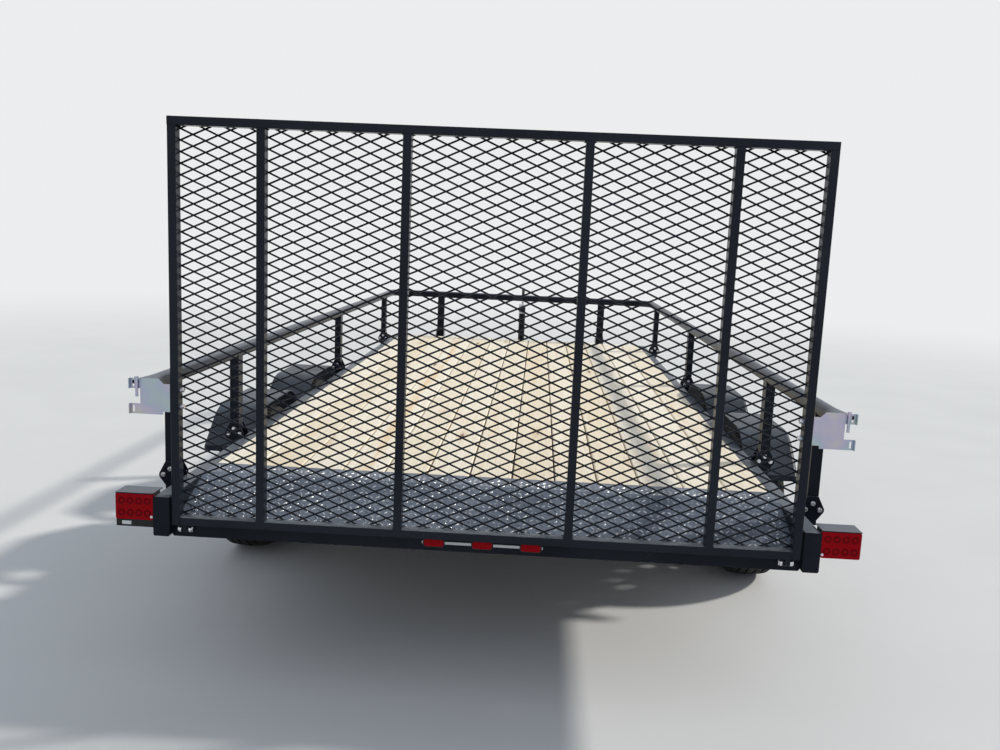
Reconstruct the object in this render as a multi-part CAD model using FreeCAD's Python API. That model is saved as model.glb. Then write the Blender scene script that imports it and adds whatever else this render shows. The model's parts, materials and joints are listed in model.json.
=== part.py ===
"""Tandem-axle utility trailer with a hinged mesh loading gate.

Frame: X to the right, Y forward (towards the hitch), Z up, millimetres.
The origin is on the ground under the middle of the overall length.
A station is a distance forward of the loading gate's rear face.
"""
import FreeCAD
import Part
import math
import os

os.makedirs("parts", exist_ok=True)

# Bed frame
BED_LENGTH = 4760.0
TONGUE_REACH = 1300.0
REAR_PROUD = 11.0
BED_HALF = 984.0
RAIL_WIDTH = 52.0
RAIL_HEIGHT = 127.0
RAIL_TOP = 640.0
RAIL_CORNER = 6.0
HEADER_DEPTH = 40.0
CROSS_HEIGHT = 76.0
CROSS_FLANGE = 36.0
CROSS_WEB = 5.0
CROSS_FIRST = 470.0
CROSS_LAST_BACK = 160.0
CROSS_COUNT = 8

# Deck boards and the sloped tread plate behind them
DECK_TOP = 645.0
BOARD_THICK = 38.0
BOARD_COUNT = 13
BOARD_GAP = 6.0
BOARD_EASE = 3.0
DECK_REAR = 420.0
TREAD_THICK = 5.0
TREAD_BEND = 300.0
TREAD_GAP = 3.0
TREAD_REAR_TOP = 543.0
TREAD_BEAM_AT = 345.0

# Rear sill, an angle that carries the gate hinges and the three middle lamps
SILL_REAR = 31.0
SILL_LEG = 40.0
SILL_FOOT = 55.0
SILL_THICK = 5.0
SILL_BOTTOM = 505.0

# Loading gate, of tube set on edge
GATE_HALF = 977.0
GATE_BOTTOM = 551.0
GATE_TOP = 1799.0
GATE_TUBE_WIDE = 25.4
GATE_TUBE_DEEP = 38.1
GATE_UPRIGHTS = (-698.0, -266.0, 266.0, 698.0)

# Expanded mesh: diamond pitches, strand width and thickness, lap on the gate tubes
MESH_LONG = 76.2
MESH_SHORT = 33.9
MESH_STRAND = 5.0
MESH_THICK = 2.8
MESH_LAP = 12.0

# Gate hinge
HINGE_STATION = 16.0
HINGE_HEIGHT = 535.0
HINGE_EAR_R = 10.0
HINGE_PIN_R = 6.0
HINGE_PLAY = 0.08
HINGE_AT = 938.0
HINGE_GATE_EAR = 10.0
HINGE_FRAME_EAR = 6.0
HINGE_SIDE_GAP = 1.0
HINGE_HEAD_R = 9.5
HINGE_HEAD_THICK = 7.0

# Zinc latch plates on the gate's side bars, placed by the top rail's end
LATCH_THICK = 3.0
LATCH_ROOT = 2.0
LATCH_REACH = 35.0
LATCH_TALL = 111.0
LATCH_OVER = 3.6
LATCH_STEP = 15.0
LATCH_STEP_BACK = 58.0
LATCH_ARM = 32.0
LATCH_LIP = 9.0
LATCH_NOTCH_WIDE = 23.0
LATCH_NOTCH_HIGH = 9.0
LATCH_SLOT_WIDE = 6.0
LATCH_SLOT_HIGH = 20.0
LATCH_SLOT_IN = 12.0
LATCH_FLANGE = 32.0
LATCH_PIN_R = 4.5
LATCH_PIN_OUT = 10.0
LATCH_PIN_LONG = 56.0
LATCH_PIN_HEAD_R = 6.0
LATCH_PIN_HEAD = 6.0
LATCH_BOLT_R = 4.8
LATCH_BOLT_RISES = (25.0, 77.0)
LATCH_BOLT_HEAD_R = 9.0
LATCH_BOLT_HEAD = 6.0

# Top rail and its posts
RAIL_TUBE_R = 25.4
RAIL_TUBE_WALL = 2.5
RAIL_TUBE_OVER = 32.0
RAIL_TUBE_HEIGHT = 985.0
RAIL_TUBE_BEND = 90.0
RAIL_FLAT_START = 120.0
RAIL_FLAT_END = 45.0
RAIL_FLAT_TIP = 9.0
RAIL_FLAT_WIDE = 66.0
RAIL_FLAT_THICK = 20.0
POST_GAP = 8.0
POST_WIDE = 36.0
POST_DEEP = 54.0
POST_LAP = 38.0
POST_STATIONS = (230.0, 865.0, 2735.0)
POST_LAST_BACK = 410.0
FRONT_POST_AT = (-660.0, 660.0)

# Shield-shaped foot plates on two faces of each post: half width and rise over the rail
FOOT_PLATE = 4.0
FOOT_OUTLINE = ((17.0, 60.0), (38.0, 19.0), (38.0, 9.0), (0.0, -43.0))

# Running gear
TANDEM_AT = 1820.0
TANDEM_SPREAD = 840.0
AXLE_R = 30.0
SPINDLE_R = 17.5
WHEEL_CENTRE = 1142.0
SPRING_WIDTH = 45.0
SPRING_HALF = 322.0
SPRING_RISE = 30.0
TIE_HALF_WIDE = 36.0
TIE_HALF_LONG = 46.0
TIE_THICK = 8.0
LEAF_THICK = 7.0
LEAF_HALVES = (322.0, 262.0, 200.0, 138.0, 90.0)
SEAT_HEIGHT = 7.0
EYE_R = 17.0
EYE_BOLT_R = 7.0
EYE_PLAY = 0.3
HANGER_PLATE = 5.0
HANGER_PLAY = 1.0
HANGER_WIDE = 76.0
EQUALIZER_DROP = 8.0
EQUALIZER_BOSS = 24.0
SHACKLE_LONG = 45.0
SHACKLE_PLATE = 4.0
SHACKLE_R = 14.0

# Tyres and rims; the tyre's wall is given by inset from its widest point and share of its rise
TYRE_R = 331.5
TYRE_WIDTH = 196.0
TYRE_SIDES = 48
TYRE_WALL = ((7.0, 0.20), (0.0, 0.50), (6.0, 0.80), (18.0, 0.945), (58.0, 1.0))
BEAD_HALF = 72.0
BEAD_PLAY = 0.8
RIM_R = 180.0
RIM_LIP = 11.0
RIM_SKIN = 4.0
RIM_WELL = 16.0
RIM_WELL_HALF = 36.0
RIM_LEDGE_HALF = 54.0

# Wheel centres
HUB_R = 42.0
HUB_FLANGE_R = 70.0
HUB_FLANGE_THICK = 9.0
HUB_CAP_R = 28.0
HUB_PLAY = 0.06
DISC_OFFSET = 20.0
DISC_THICK = 6.0
DISC_SEAT_R = 76.0
DISC_CROWN_R = 104.0
DISC_CROWN = 14.0
DISC_HOLES = 8
DISC_HOLE_R = 14.0
DISC_HOLE_CIRCLE = 132.0
STUD_COUNT = 5
STUD_R = 6.3
STUD_CIRCLE = 57.0
STUD_PLAY = 0.3
NUT_R = 10.5
NUT_THICK = 14.0

# Fenders
FENDER_OUT = 1252.0
FENDER_TOP = 711.0
FENDER_BOTTOM = 537.0
FENDER_WALL = 4.0
FENDER_FLAT = 225.0
FENDER_HALF = 400.0
FENDER_CROWN_R = 220.0
FENDER_SKIRT = 34.0
FENDER_KNEE = 23.0
FENDER_EDGE_R = 20.0

# Tongue, coupler and jack
BEAM_HEIGHT = 102.0
BEAM_FLANGE = 41.0
BEAM_WEB = 6.0
BEAM_ANGLE = 25.0
BEAM_UNDER = 460.0
BEAM_BACK = 160.0
BEAM_NOSE = 48.0
COUPLER_LONG = 360.0
COUPLER_SKIN = 6.0
COUPLER_SKIRT = 46.0
COUPLER_PLAY = 0.3
COUPLER_EDGE_R = 10.0
BALL_R = 25.7
BALL_SKIRT = 22.0
SOCKET_WALL = 9.0
LATCH_HALF = 9.0
LATCH_PIVOT = 118.0
LATCH_LONG = 128.0
LATCH_RISE = 40.0
LATCH_STOCK = 7.0
JACK_BACK = 460.0
JACK_R = 28.6
JACK_WALL = 2.8
JACK_TOP = 850.0
JACK_BOTTOM = 250.0
JACK_LEG_PLAY = 0.3
JACK_FLANGE_R = 62.0
JACK_FLANGE_THICK = 8.0
JACK_PLATE_THICK = 8.0
JACK_PLATE_HALF = 95.0
JACK_CAP_R = 33.0
JACK_CAP_HIGH = 22.0
JACK_CAP_EDGE = 6.0
JACK_RING_Z = 790.0
JACK_RING_R = 32.0
JACK_RING_HIGH = 16.0
JACK_FOOT_HALF = 65.0
JACK_FOOT_THICK = 6.0
CRANK_R = 7.0
CRANK_BOSS_R = 10.0
CRANK_ARM = 150.0
CRANK_RISE = 26.0
GRIP_R = 13.0
GRIP_LONG = 95.0

# Lamps
TAIL_LONG = 120.0
TAIL_HIGH = 84.0
TAIL_LOW = 562.0
TAIL_DEEP = 40.0
TAIL_LENS = 18.0
TAIL_EDGE = 6.0
HOOD_THICK = 3.0
HOOD_DEEP = 75.0
PLATE_LAMP_HIGH = 24.0
PLATE_LAMP_INSET = 4.0
PLATE_WINDOW_LONG = 30.0
PLATE_WINDOW_HIGH = 12.0
PLATE_WINDOW_IN = 18.0
ID_PITCH = 152.4
ID_LONG = 62.0
ID_HIGH = 24.0
ID_LOW = 520.0
ID_DEEP = 4.0
ID_BAR_HALF = 190.0
ID_BAR_HIGH = 9.0
ID_BAR_THICK = 3.0
MARKER_LONG = 64.0
MARKER_HIGH = 26.0
MARKER_DEEP = 14.0
MARKER_BACK = 200.0

# Worked out from the values above
LENGTH = REAR_PROUD + BED_LENGTH + TONGUE_REACH
RAIL_OUT = BED_HALF + RAIL_WIDTH
RAIL_BOTTOM = RAIL_TOP - RAIL_HEIGHT
RAIL_MID = BED_HALF + RAIL_WIDTH / 2
CROSS_TOP = DECK_TOP - BOARD_THICK
CROSS_PITCH = (BED_LENGTH - CROSS_LAST_BACK - CROSS_FIRST) / (CROSS_COUNT - 1)
RAIL_TUBE_AT = RAIL_OUT + RAIL_TUBE_OVER
RAIL_TUBE_FRONT = BED_LENGTH + RAIL_TUBE_OVER
LATCH_TIP = RAIL_TUBE_AT + LATCH_REACH
LATCH_OUT = RAIL_TUBE_AT + LATCH_ROOT
LATCH_TOP = RAIL_TUBE_HEIGHT + RAIL_TUBE_R + LATCH_OVER
LATCH_BOTTOM = LATCH_TOP - LATCH_TALL
LATCH_PIN_AT = RAIL_TUBE_AT + LATCH_PIN_OUT
AXLE_STATIONS = (TANDEM_AT - TANDEM_SPREAD / 2, TANDEM_AT + TANDEM_SPREAD / 2)
COUPLER_TIP = BED_LENGTH + TONGUE_REACH
BEAM_REAR = BED_LENGTH - BEAM_UNDER
BEAM_FRONT = COUPLER_TIP - BEAM_BACK
COUPLER_REAR = COUPLER_TIP - COUPLER_LONG
JACK_STATION = COUPLER_TIP - JACK_BACK
BALL_STATION = COUPLER_TIP - BALL_R - SOCKET_WALL
BEAM_TOP = RAIL_BOTTOM
BEAM_BOTTOM = BEAM_TOP - BEAM_HEIGHT
AXLE_HEIGHT = TYRE_R
SPRING_LOW = AXLE_HEIGHT + AXLE_R + SEAT_HEIGHT
SPRING_TOP = SPRING_LOW + LEAF_THICK * len(LEAF_HALVES)
SPRING_RADIUS = (SPRING_HALF ** 2 + SPRING_RISE ** 2) / (2 * SPRING_RISE)
EYE_HEIGHT = SPRING_TOP + SPRING_RISE
X_AXIS = FreeCAD.Vector(1, 0, 0)
Y_AXIS = FreeCAD.Vector(0, 1, 0)
Z_AXIS = FreeCAD.Vector(0, 0, 1)


def at(x, station, z):
    """The point at a station, in the trailer's own frame."""
    return FreeCAD.Vector(x, station + REAR_PROUD - LENGTH / 2, z)


def block(x0, x1, s0, s1, z0, z1):
    """A box between two corners given as x, station and height."""
    return Part.makeBox(x1 - x0, s1 - s0, z1 - z0, at(x0, s0, z0))


def rod(start, end, radius):
    """A round bar between two points."""
    way = end - start
    return Part.makeCylinder(radius, way.Length, start, way)


def pipe(start, end, radius, wall):
    """A round tube between two points."""
    return rod(start, end, radius).cut(rod(start, end, radius - wall))


def prism(points, way):
    """A closed outline pushed along a vector."""
    wire = Part.makePolygon(points + points[:1])
    return Part.Face(wire).extrude(way)


def mirrored(shape):
    """The same piece on the other side of the centre line."""
    return shape.mirror(FreeCAD.Vector(0, 0, 0), X_AXIS)


def both(shape):
    """A piece for each side."""
    return [mirrored(shape), shape]


def softened(shape, radius, way):
    """Rounds the edges that run along one axis."""
    along = [edge for edge in shape.Edges if is_along(edge, way)]
    return shape.makeFillet(radius, along)


def is_along(edge, way):
    """Whether a straight edge runs along an axis."""
    if not isinstance(edge.Curve, Part.Line):
        return False
    return abs(abs(edge.Curve.Direction.dot(way)) - 1.0) < 1e-6


def save(node, shapes):
    """Writes one node: a single solid, or several that do not touch."""
    solids = shapes if isinstance(shapes, list) else [shapes]
    flat = [solid for shape in solids for solid in shape.Solids]
    shape = flat[0] if len(flat) == 1 else Part.makeCompound(flat)
    shape.exportStep("parts/" + node + ".step")


def save_sides(node, shapes):
    """Writes pieces for the right-hand side and their mirrors for the left."""
    pieces = shapes if isinstance(shapes, list) else [shapes]
    save(node + "_right", pieces)
    save(node + "_left", [mirrored(piece) for piece in pieces])


def channel(x0, x1, station, top, height, flange, web):
    """A cross channel with its open side forward."""
    outer = block(x0, x1, station, station + flange, top - height, top)
    inner = block(x0, x1, station + web, station + flange, top - height + web, top - web)
    return outer.cut(inner)


def build_frame():
    """Side rails, header, cross channels and the rear sill."""
    rail = block(BED_HALF, RAIL_OUT, 0, BED_LENGTH, RAIL_BOTTOM, RAIL_TOP)
    save_sides("side_rail", softened(rail, RAIL_CORNER, Y_AXIS))
    header = block(-BED_HALF, BED_HALF, BED_LENGTH - HEADER_DEPTH, BED_LENGTH, RAIL_BOTTOM, RAIL_TOP)
    save("header", header)
    places = [(CROSS_FIRST + CROSS_PITCH * index, CROSS_TOP) for index in range(CROSS_COUNT)]
    places.append((TREAD_BEAM_AT, DECK_TOP - TREAD_THICK))
    save("crossmembers", [
        channel(-BED_HALF, BED_HALF, station, top, CROSS_HEIGHT, CROSS_FLANGE, CROSS_WEB)
        for station, top in places
    ])
    build_sill()


def build_sill():
    """The rear angle with a pair of hinge ears near each end."""
    top = SILL_BOTTOM + SILL_LEG
    upright = block(-BED_HALF, BED_HALF, SILL_REAR, SILL_REAR + SILL_THICK, SILL_BOTTOM, top)
    foot = block(-BED_HALF, BED_HALF, SILL_REAR, SILL_REAR + SILL_FOOT,
                 SILL_BOTTOM, SILL_BOTTOM + SILL_THICK)
    sill = upright.fuse(foot)
    inner = HINGE_AT - HINGE_GATE_EAR / 2 - HINGE_SIDE_GAP
    outer = HINGE_AT + HINGE_GATE_EAR / 2 + HINGE_SIDE_GAP
    for side in (-1, 1):
        for low in (inner - HINGE_FRAME_EAR, outer):
            middle = side * (low + HINGE_FRAME_EAR / 2)
            sill = sill.fuse(hinge_ear(middle, HINGE_FRAME_EAR, Y_AXIS * (SILL_REAR - HINGE_STATION)))
    save("rear_sill", sill.removeSplitter())
    pin_low = inner - HINGE_FRAME_EAR
    pin_high = outer + HINGE_FRAME_EAR
    shank = rod(hinge_point(pin_low), hinge_point(pin_high), HINGE_PIN_R)
    head = rod(hinge_point(pin_low - HINGE_HEAD_THICK), hinge_point(pin_low), HINGE_HEAD_R)
    nut = rod(hinge_point(pin_high), hinge_point(pin_high + HINGE_HEAD_THICK), HINGE_HEAD_R)
    save("hinge_pins", both(shank.fuse([head, nut])))


def hinge_point(x):
    """A point on the gate's hinge axis."""
    return at(x, HINGE_STATION, HINGE_HEIGHT)


def hinge_ear(middle, thick, reach):
    """A rounded ear about the hinge axis that reaches to what carries it."""
    start = hinge_point(middle - thick / 2)
    half = FreeCAD.Vector(reach).normalize().cross(X_AXIS) * HINGE_EAR_R
    corners = [start + half, start + half + reach, start - half + reach, start - half]
    ear = prism(corners, X_AXIS * thick)
    ear = ear.fuse(Part.makeCylinder(HINGE_EAR_R, thick, start, X_AXIS))
    return ear.cut(Part.makeCylinder(HINGE_PIN_R + HINGE_PLAY, thick, start, X_AXIS))


def build_deck():
    """Boards along the bed and the sloped plate at its rear."""
    pitch = 2 * BED_HALF / BOARD_COUNT
    front = BED_LENGTH - HEADER_DEPTH
    boards = []
    for index in range(BOARD_COUNT):
        low = -BED_HALF + index * pitch + BOARD_GAP / 2
        board = block(low, low + pitch - BOARD_GAP, DECK_REAR, front, CROSS_TOP, DECK_TOP)
        upper = [edge for edge in board.Edges
                 if is_along(edge, Y_AXIS) and edge.CenterOfMass.z > CROSS_TOP + BOARD_EASE]
        boards.append(board.makeChamfer(BOARD_EASE, upper))
    save("deck_boards", boards)
    rear = SILL_REAR + SILL_THICK
    outline = [
        at(-BED_HALF, rear, TREAD_REAR_TOP),
        at(-BED_HALF, TREAD_BEND, DECK_TOP),
        at(-BED_HALF, DECK_REAR - TREAD_GAP, DECK_TOP),
        at(-BED_HALF, DECK_REAR - TREAD_GAP, DECK_TOP - TREAD_THICK),
        at(-BED_HALF, TREAD_BEND, DECK_TOP - TREAD_THICK),
        at(-BED_HALF, rear, TREAD_REAR_TOP - TREAD_THICK),
    ]
    save("tread_plate", prism(outline, X_AXIS * 2 * BED_HALF))


def build_gate():
    """Tubes, mesh, hinge ears and latch plates of the loading gate."""
    bar = GATE_TUBE_WIDE
    deep = GATE_TUBE_DEEP
    low = GATE_BOTTOM + bar
    high = GATE_TOP - bar
    save("gate_top_bar", block(-GATE_HALF, GATE_HALF, 0, deep, high, GATE_TOP))
    side = block(GATE_HALF - bar, GATE_HALF, 0, deep, GATE_BOTTOM, high)
    for bolt in latch_bolts(LATCH_BOLT_R + EYE_PLAY):
        side = side.cut(bolt)
    save("gate_side_bars", both(side))
    bottom = block(bar - GATE_HALF, GATE_HALF - bar, 0, deep, GATE_BOTTOM, low)
    for way in (-1, 1):
        ear = hinge_ear(way * HINGE_AT, HINGE_GATE_EAR, Z_AXIS * (GATE_BOTTOM - HINGE_HEIGHT))
        bottom = bottom.fuse(ear)
    save("gate_bottom_bar", bottom.removeSplitter())
    save("gate_uprights", [
        block(x - bar / 2, x + bar / 2, 0, deep, low, high) for x in GATE_UPRIGHTS
    ])
    save("gate_mesh_rising", mesh_strands(1, deep))
    save("gate_mesh_falling", mesh_strands(-1, deep + MESH_THICK))
    build_latches()


def mesh_strands(lean, station):
    """Parallel strands of the expanded mesh that lean one way, cut to the gate."""
    half = GATE_HALF - GATE_TUBE_WIDE + MESH_LAP
    low = GATE_BOTTOM + GATE_TUBE_WIDE - MESH_LAP
    high = GATE_TOP - GATE_TUBE_WIDE + MESH_LAP
    slope = MESH_SHORT / MESH_LONG
    tall = MESH_STRAND / math.cos(math.atan(slope))
    centre = (low + high) / 2
    reach = half * slope + (high - low) / 2
    count = int(reach / MESH_SHORT)
    window = block(-half, half, station, station + MESH_THICK, low, high)
    strands = []
    for index in range(-count, count + 1):
        middle = centre + index * MESH_SHORT
        rise = lean * half * slope
        corners = [
            at(-half, station, middle - rise - tall / 2),
            at(half, station, middle + rise - tall / 2),
            at(half, station, middle + rise + tall / 2),
            at(-half, station, middle - rise + tall / 2),
        ]
        strands.append(prism(corners, Y_AXIS * MESH_THICK).common(window))
    return strands


def build_latches():
    """A zinc plate on each side bar, with slotted arms, its bolts and a drop pin."""
    step_at = LATCH_OUT - LATCH_STEP_BACK
    body = [
        (GATE_HALF, LATCH_BOTTOM + LATCH_NOTCH_HIGH),
        (GATE_HALF + LATCH_NOTCH_WIDE, LATCH_BOTTOM + LATCH_NOTCH_HIGH),
        (GATE_HALF + LATCH_NOTCH_WIDE, LATCH_BOTTOM),
        (LATCH_TIP, LATCH_BOTTOM),
        (LATCH_TIP, LATCH_BOTTOM + LATCH_ARM),
        (LATCH_OUT, LATCH_BOTTOM + LATCH_ARM),
        (LATCH_OUT, LATCH_TOP - LATCH_ARM),
        (LATCH_TIP, LATCH_TOP - LATCH_ARM),
        (LATCH_TIP, LATCH_TOP),
        (step_at, LATCH_TOP),
        (step_at - LATCH_STEP, LATCH_TOP - LATCH_STEP),
        (GATE_HALF, LATCH_TOP - LATCH_STEP),
    ]
    plate = prism([at(x, 0, z) for x, z in body], Y_AXIS * LATCH_THICK)
    flange = block(GATE_HALF, GATE_HALF + LATCH_THICK, 0, LATCH_FLANGE,
                   LATCH_BOTTOM + LATCH_NOTCH_HIGH, LATCH_TOP - LATCH_STEP)
    plate = plate.fuse(flange)
    for middle in (LATCH_BOTTOM + LATCH_ARM / 2, LATCH_TOP - LATCH_ARM / 2):
        plate = plate.fuse(block(LATCH_TIP - LATCH_THICK, LATCH_TIP, -LATCH_LIP, LATCH_THICK,
                                 middle - LATCH_ARM / 2, middle + LATCH_ARM / 2))
        slot_at = LATCH_TIP - LATCH_SLOT_IN
        plate = plate.cut(block(slot_at - LATCH_SLOT_WIDE / 2, slot_at + LATCH_SLOT_WIDE / 2,
                                0, LATCH_THICK, middle - LATCH_SLOT_HIGH / 2,
                                middle + LATCH_SLOT_HIGH / 2))
    tab = block(LATCH_PIN_AT - 2 * LATCH_PIN_R, LATCH_PIN_AT + 2 * LATCH_PIN_R, -REAR_PROUD, 0,
                LATCH_TOP - LATCH_THICK, LATCH_TOP)
    pin_top = at(LATCH_PIN_AT, LATCH_PIN_R + LATCH_THICK / 3 - REAR_PROUD, LATCH_TOP)
    pin_low = pin_top - Z_AXIS * LATCH_PIN_LONG
    shank = rod(pin_low, pin_top, LATCH_PIN_R)
    tab = tab.cut(rod(pin_low, pin_top + Z_AXIS, LATCH_PIN_R + HINGE_PLAY))
    head = rod(pin_top, pin_top + Z_AXIS * LATCH_PIN_HEAD, LATCH_PIN_HEAD_R)
    plate = plate.fuse(tab).fuse(latch_bolts(LATCH_BOLT_R))
    save("gate_latches", both(plate.removeSplitter()) + both(shank.fuse(head)))


def latch_bolts(radius):
    """The bolts that hold a latch plate, from a head inside the gate to the plate's flange."""
    bolts = []
    inside = GATE_HALF - GATE_TUBE_WIDE
    station = GATE_TUBE_DEEP / 2
    for rise in LATCH_BOLT_RISES:
        start = at(inside - LATCH_BOLT_HEAD, station, LATCH_BOTTOM + rise)
        shank = rod(start, at(GATE_HALF + LATCH_THICK, station, LATCH_BOTTOM + rise), radius)
        head = rod(start, start + X_AXIS * LATCH_BOLT_HEAD, LATCH_BOLT_HEAD_R)
        bolts.append(shank.fuse(head))
    return bolts


def build_rails():
    """The round top rail and the posts bolted round the bed."""
    bend = RAIL_TUBE_BEND
    front = RAIL_TUBE_FRONT
    side_end = front - bend
    tube = pipe(at(RAIL_TUBE_AT, RAIL_FLAT_START, RAIL_TUBE_HEIGHT),
                at(RAIL_TUBE_AT, side_end, RAIL_TUBE_HEIGHT), RAIL_TUBE_R, RAIL_TUBE_WALL)
    save_sides("top_rail", tube.fuse(flattened_end()).removeSplitter())
    middle = at(RAIL_TUBE_AT - bend, side_end, RAIL_TUBE_HEIGHT)
    corner_x = RAIL_TUBE_AT - bend
    straight = pipe(at(-corner_x, front, RAIL_TUBE_HEIGHT), at(corner_x, front, RAIL_TUBE_HEIGHT),
                    RAIL_TUBE_R, RAIL_TUBE_WALL)
    ring = Part.makeTorus(bend, RAIL_TUBE_R, middle, Z_AXIS, -180, 180, 90)
    hole = Part.makeTorus(bend, RAIL_TUBE_R - RAIL_TUBE_WALL, middle, Z_AXIS, -180, 180, 90)
    bent = ring.cut(hole)
    save("top_rail_front", straight.fuse([bent, mirrored(bent)]).removeSplitter())
    build_posts()


def flattened_end():
    """The rail tube's rear end, pressed from round to an open oval level with the tube's top."""
    outer = pressed_form(0, RAIL_FLAT_TIP)
    return outer.cut(pressed_form(RAIL_TUBE_WALL, RAIL_FLAT_TIP))


def pressed_form(inset, tip):
    """A form that runs from the tube's circle to the oval and on to its tip, inset by a wall."""
    lift = RAIL_TUBE_HEIGHT + RAIL_TUBE_R - RAIL_FLAT_THICK / 2
    round_at = at(RAIL_TUBE_AT, RAIL_FLAT_START, RAIL_TUBE_HEIGHT)
    flat_at = at(RAIL_TUBE_AT, RAIL_FLAT_END, lift)
    circle = Part.Wire(Part.makeCircle(RAIL_TUBE_R - inset, round_at, Y_AXIS))
    oval = Part.Ellipse(flat_at + X_AXIS * (RAIL_FLAT_WIDE / 2 - inset),
                        flat_at + Z_AXIS * (RAIL_FLAT_THICK / 2 - inset), flat_at)
    wire = Part.Wire(oval.toShape())
    squash = Part.makeLoft([circle, wire], True, True)
    return squash.fuse(Part.Face(wire).extrude(Y_AXIS * (tip - RAIL_FLAT_END)))


def build_posts():
    """Posts under the rail, each held by a pair of shield-shaped plates that sit on the frame."""
    low = RAIL_TOP - POST_LAP
    inner = RAIL_OUT + POST_GAP
    side_tube = rod(at(RAIL_TUBE_AT, 0, RAIL_TUBE_HEIGHT),
                    at(RAIL_TUBE_AT, BED_LENGTH, RAIL_TUBE_HEIGHT), RAIL_TUBE_R)
    posts = []
    feet = []
    for station in POST_STATIONS + (BED_LENGTH - POST_LAST_BACK,):
        post = block(inner, inner + POST_WIDE, station - POST_DEEP / 2, station + POST_DEEP / 2,
                     low, RAIL_TUBE_HEIGHT)
        posts.append(post.cut(side_tube))
        feet += foot_plates(at(inner + POST_WIDE / 2, station, RAIL_TOP), X_AXIS, Y_AXIS)
    save_sides("posts", posts)
    start = BED_LENGTH + POST_GAP
    front_tube = rod(at(-RAIL_TUBE_AT, RAIL_TUBE_FRONT, RAIL_TUBE_HEIGHT),
                     at(RAIL_TUBE_AT, RAIL_TUBE_FRONT, RAIL_TUBE_HEIGHT), RAIL_TUBE_R)
    front_posts = []
    front_feet = []
    for x in FRONT_POST_AT:
        post = block(x - POST_DEEP / 2, x + POST_DEEP / 2, start, start + POST_WIDE,
                     low, RAIL_TUBE_HEIGHT)
        front_posts.append(post.cut(front_tube))
        front_feet += foot_plates(at(x, start + POST_WIDE / 2, RAIL_TOP), Y_AXIS, X_AXIS)
    save("posts_front", front_posts)
    save("post_feet", feet + [mirrored(foot) for foot in feet] + front_feet)


def foot_plates(centre, across, along):
    """Two plates on opposite faces of a post, notched to sit on the frame's top and side."""
    frame = block(-RAIL_OUT, RAIL_OUT, 0, BED_LENGTH, RAIL_BOTTOM, RAIL_TOP)
    plates = []
    for way in (-1, 1):
        base = centre + along * way * POST_DEEP / 2
        right = [base + across * half + Z_AXIS * rise for half, rise in FOOT_OUTLINE]
        left = [base - across * half + Z_AXIS * rise for half, rise in FOOT_OUTLINE[:-1]]
        plate = prism(right + left[::-1], along * way * FOOT_PLATE)
        plates.append(plate.cut(frame))
    return plates


def build_running_gear():
    """Axles, leaf springs, hangers, equalizers and shackles."""
    save("axles", [axle(station) for station in AXLE_STATIONS])
    springs = [leaf_spring(station) for station in AXLE_STATIONS]
    save("springs", springs + [mirrored(spring) for spring in springs])
    rear, front = AXLE_STATIONS
    hangers = [
        hanger(rear - SPRING_HALF, EYE_HEIGHT),
        hanger(TANDEM_AT, EYE_HEIGHT + SHACKLE_LONG - EQUALIZER_DROP),
        hanger(front + SPRING_HALF, EYE_HEIGHT),
    ]
    save("hangers", hangers + [mirrored(piece) for piece in hangers])
    save("equalizers", both(equalizer()))
    shackles = [shackle(rear + SPRING_HALF), shackle(front - SPRING_HALF)]
    save("shackles", shackles + [mirrored(piece) for piece in shackles])


def axle(station):
    """A tube with a spring seat over it and a spindle at each end."""
    out = WHEEL_CENTRE - DISC_OFFSET
    shoulder = out - 2 * HUB_R
    beam = rod(at(-shoulder, station, AXLE_HEIGHT), at(shoulder, station, AXLE_HEIGHT), AXLE_R)
    spindle = rod(at(-out, station, AXLE_HEIGHT), at(out, station, AXLE_HEIGHT), SPINDLE_R)
    seat = block(RAIL_MID - SPRING_WIDTH / 2, RAIL_MID + SPRING_WIDTH / 2,
                 station - LEAF_HALVES[-1] / 2, station + LEAF_HALVES[-1] / 2,
                 AXLE_HEIGHT, SPRING_LOW)
    return beam.fuse([spindle, seat, mirrored(seat)]).removeSplitter()


def leaf(station, index, half):
    """One curved leaf of a pack, bent about the pack's centre of curvature."""
    low = RAIL_MID - SPRING_WIDTH / 2
    centre = at(low, station, SPRING_TOP + SPRING_RADIUS)
    upper = SPRING_RADIUS + index * LEAF_THICK
    lower = upper + LEAF_THICK
    angle = math.asin(half / upper)

    def on_arc(radius, turn):
        return centre + FreeCAD.Vector(0, math.sin(turn), -math.cos(turn)) * radius

    top = Part.Arc(on_arc(upper, -angle), on_arc(upper, 0), on_arc(upper, angle)).toShape()
    bottom = Part.Arc(on_arc(lower, angle), on_arc(lower, 0), on_arc(lower, -angle)).toShape()
    front = Part.makeLine(on_arc(upper, angle), on_arc(lower, angle))
    rear = Part.makeLine(on_arc(lower, -angle), on_arc(upper, -angle))
    return Part.Face(Part.Wire([top, front, bottom, rear])).extrude(X_AXIS * SPRING_WIDTH)


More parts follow.
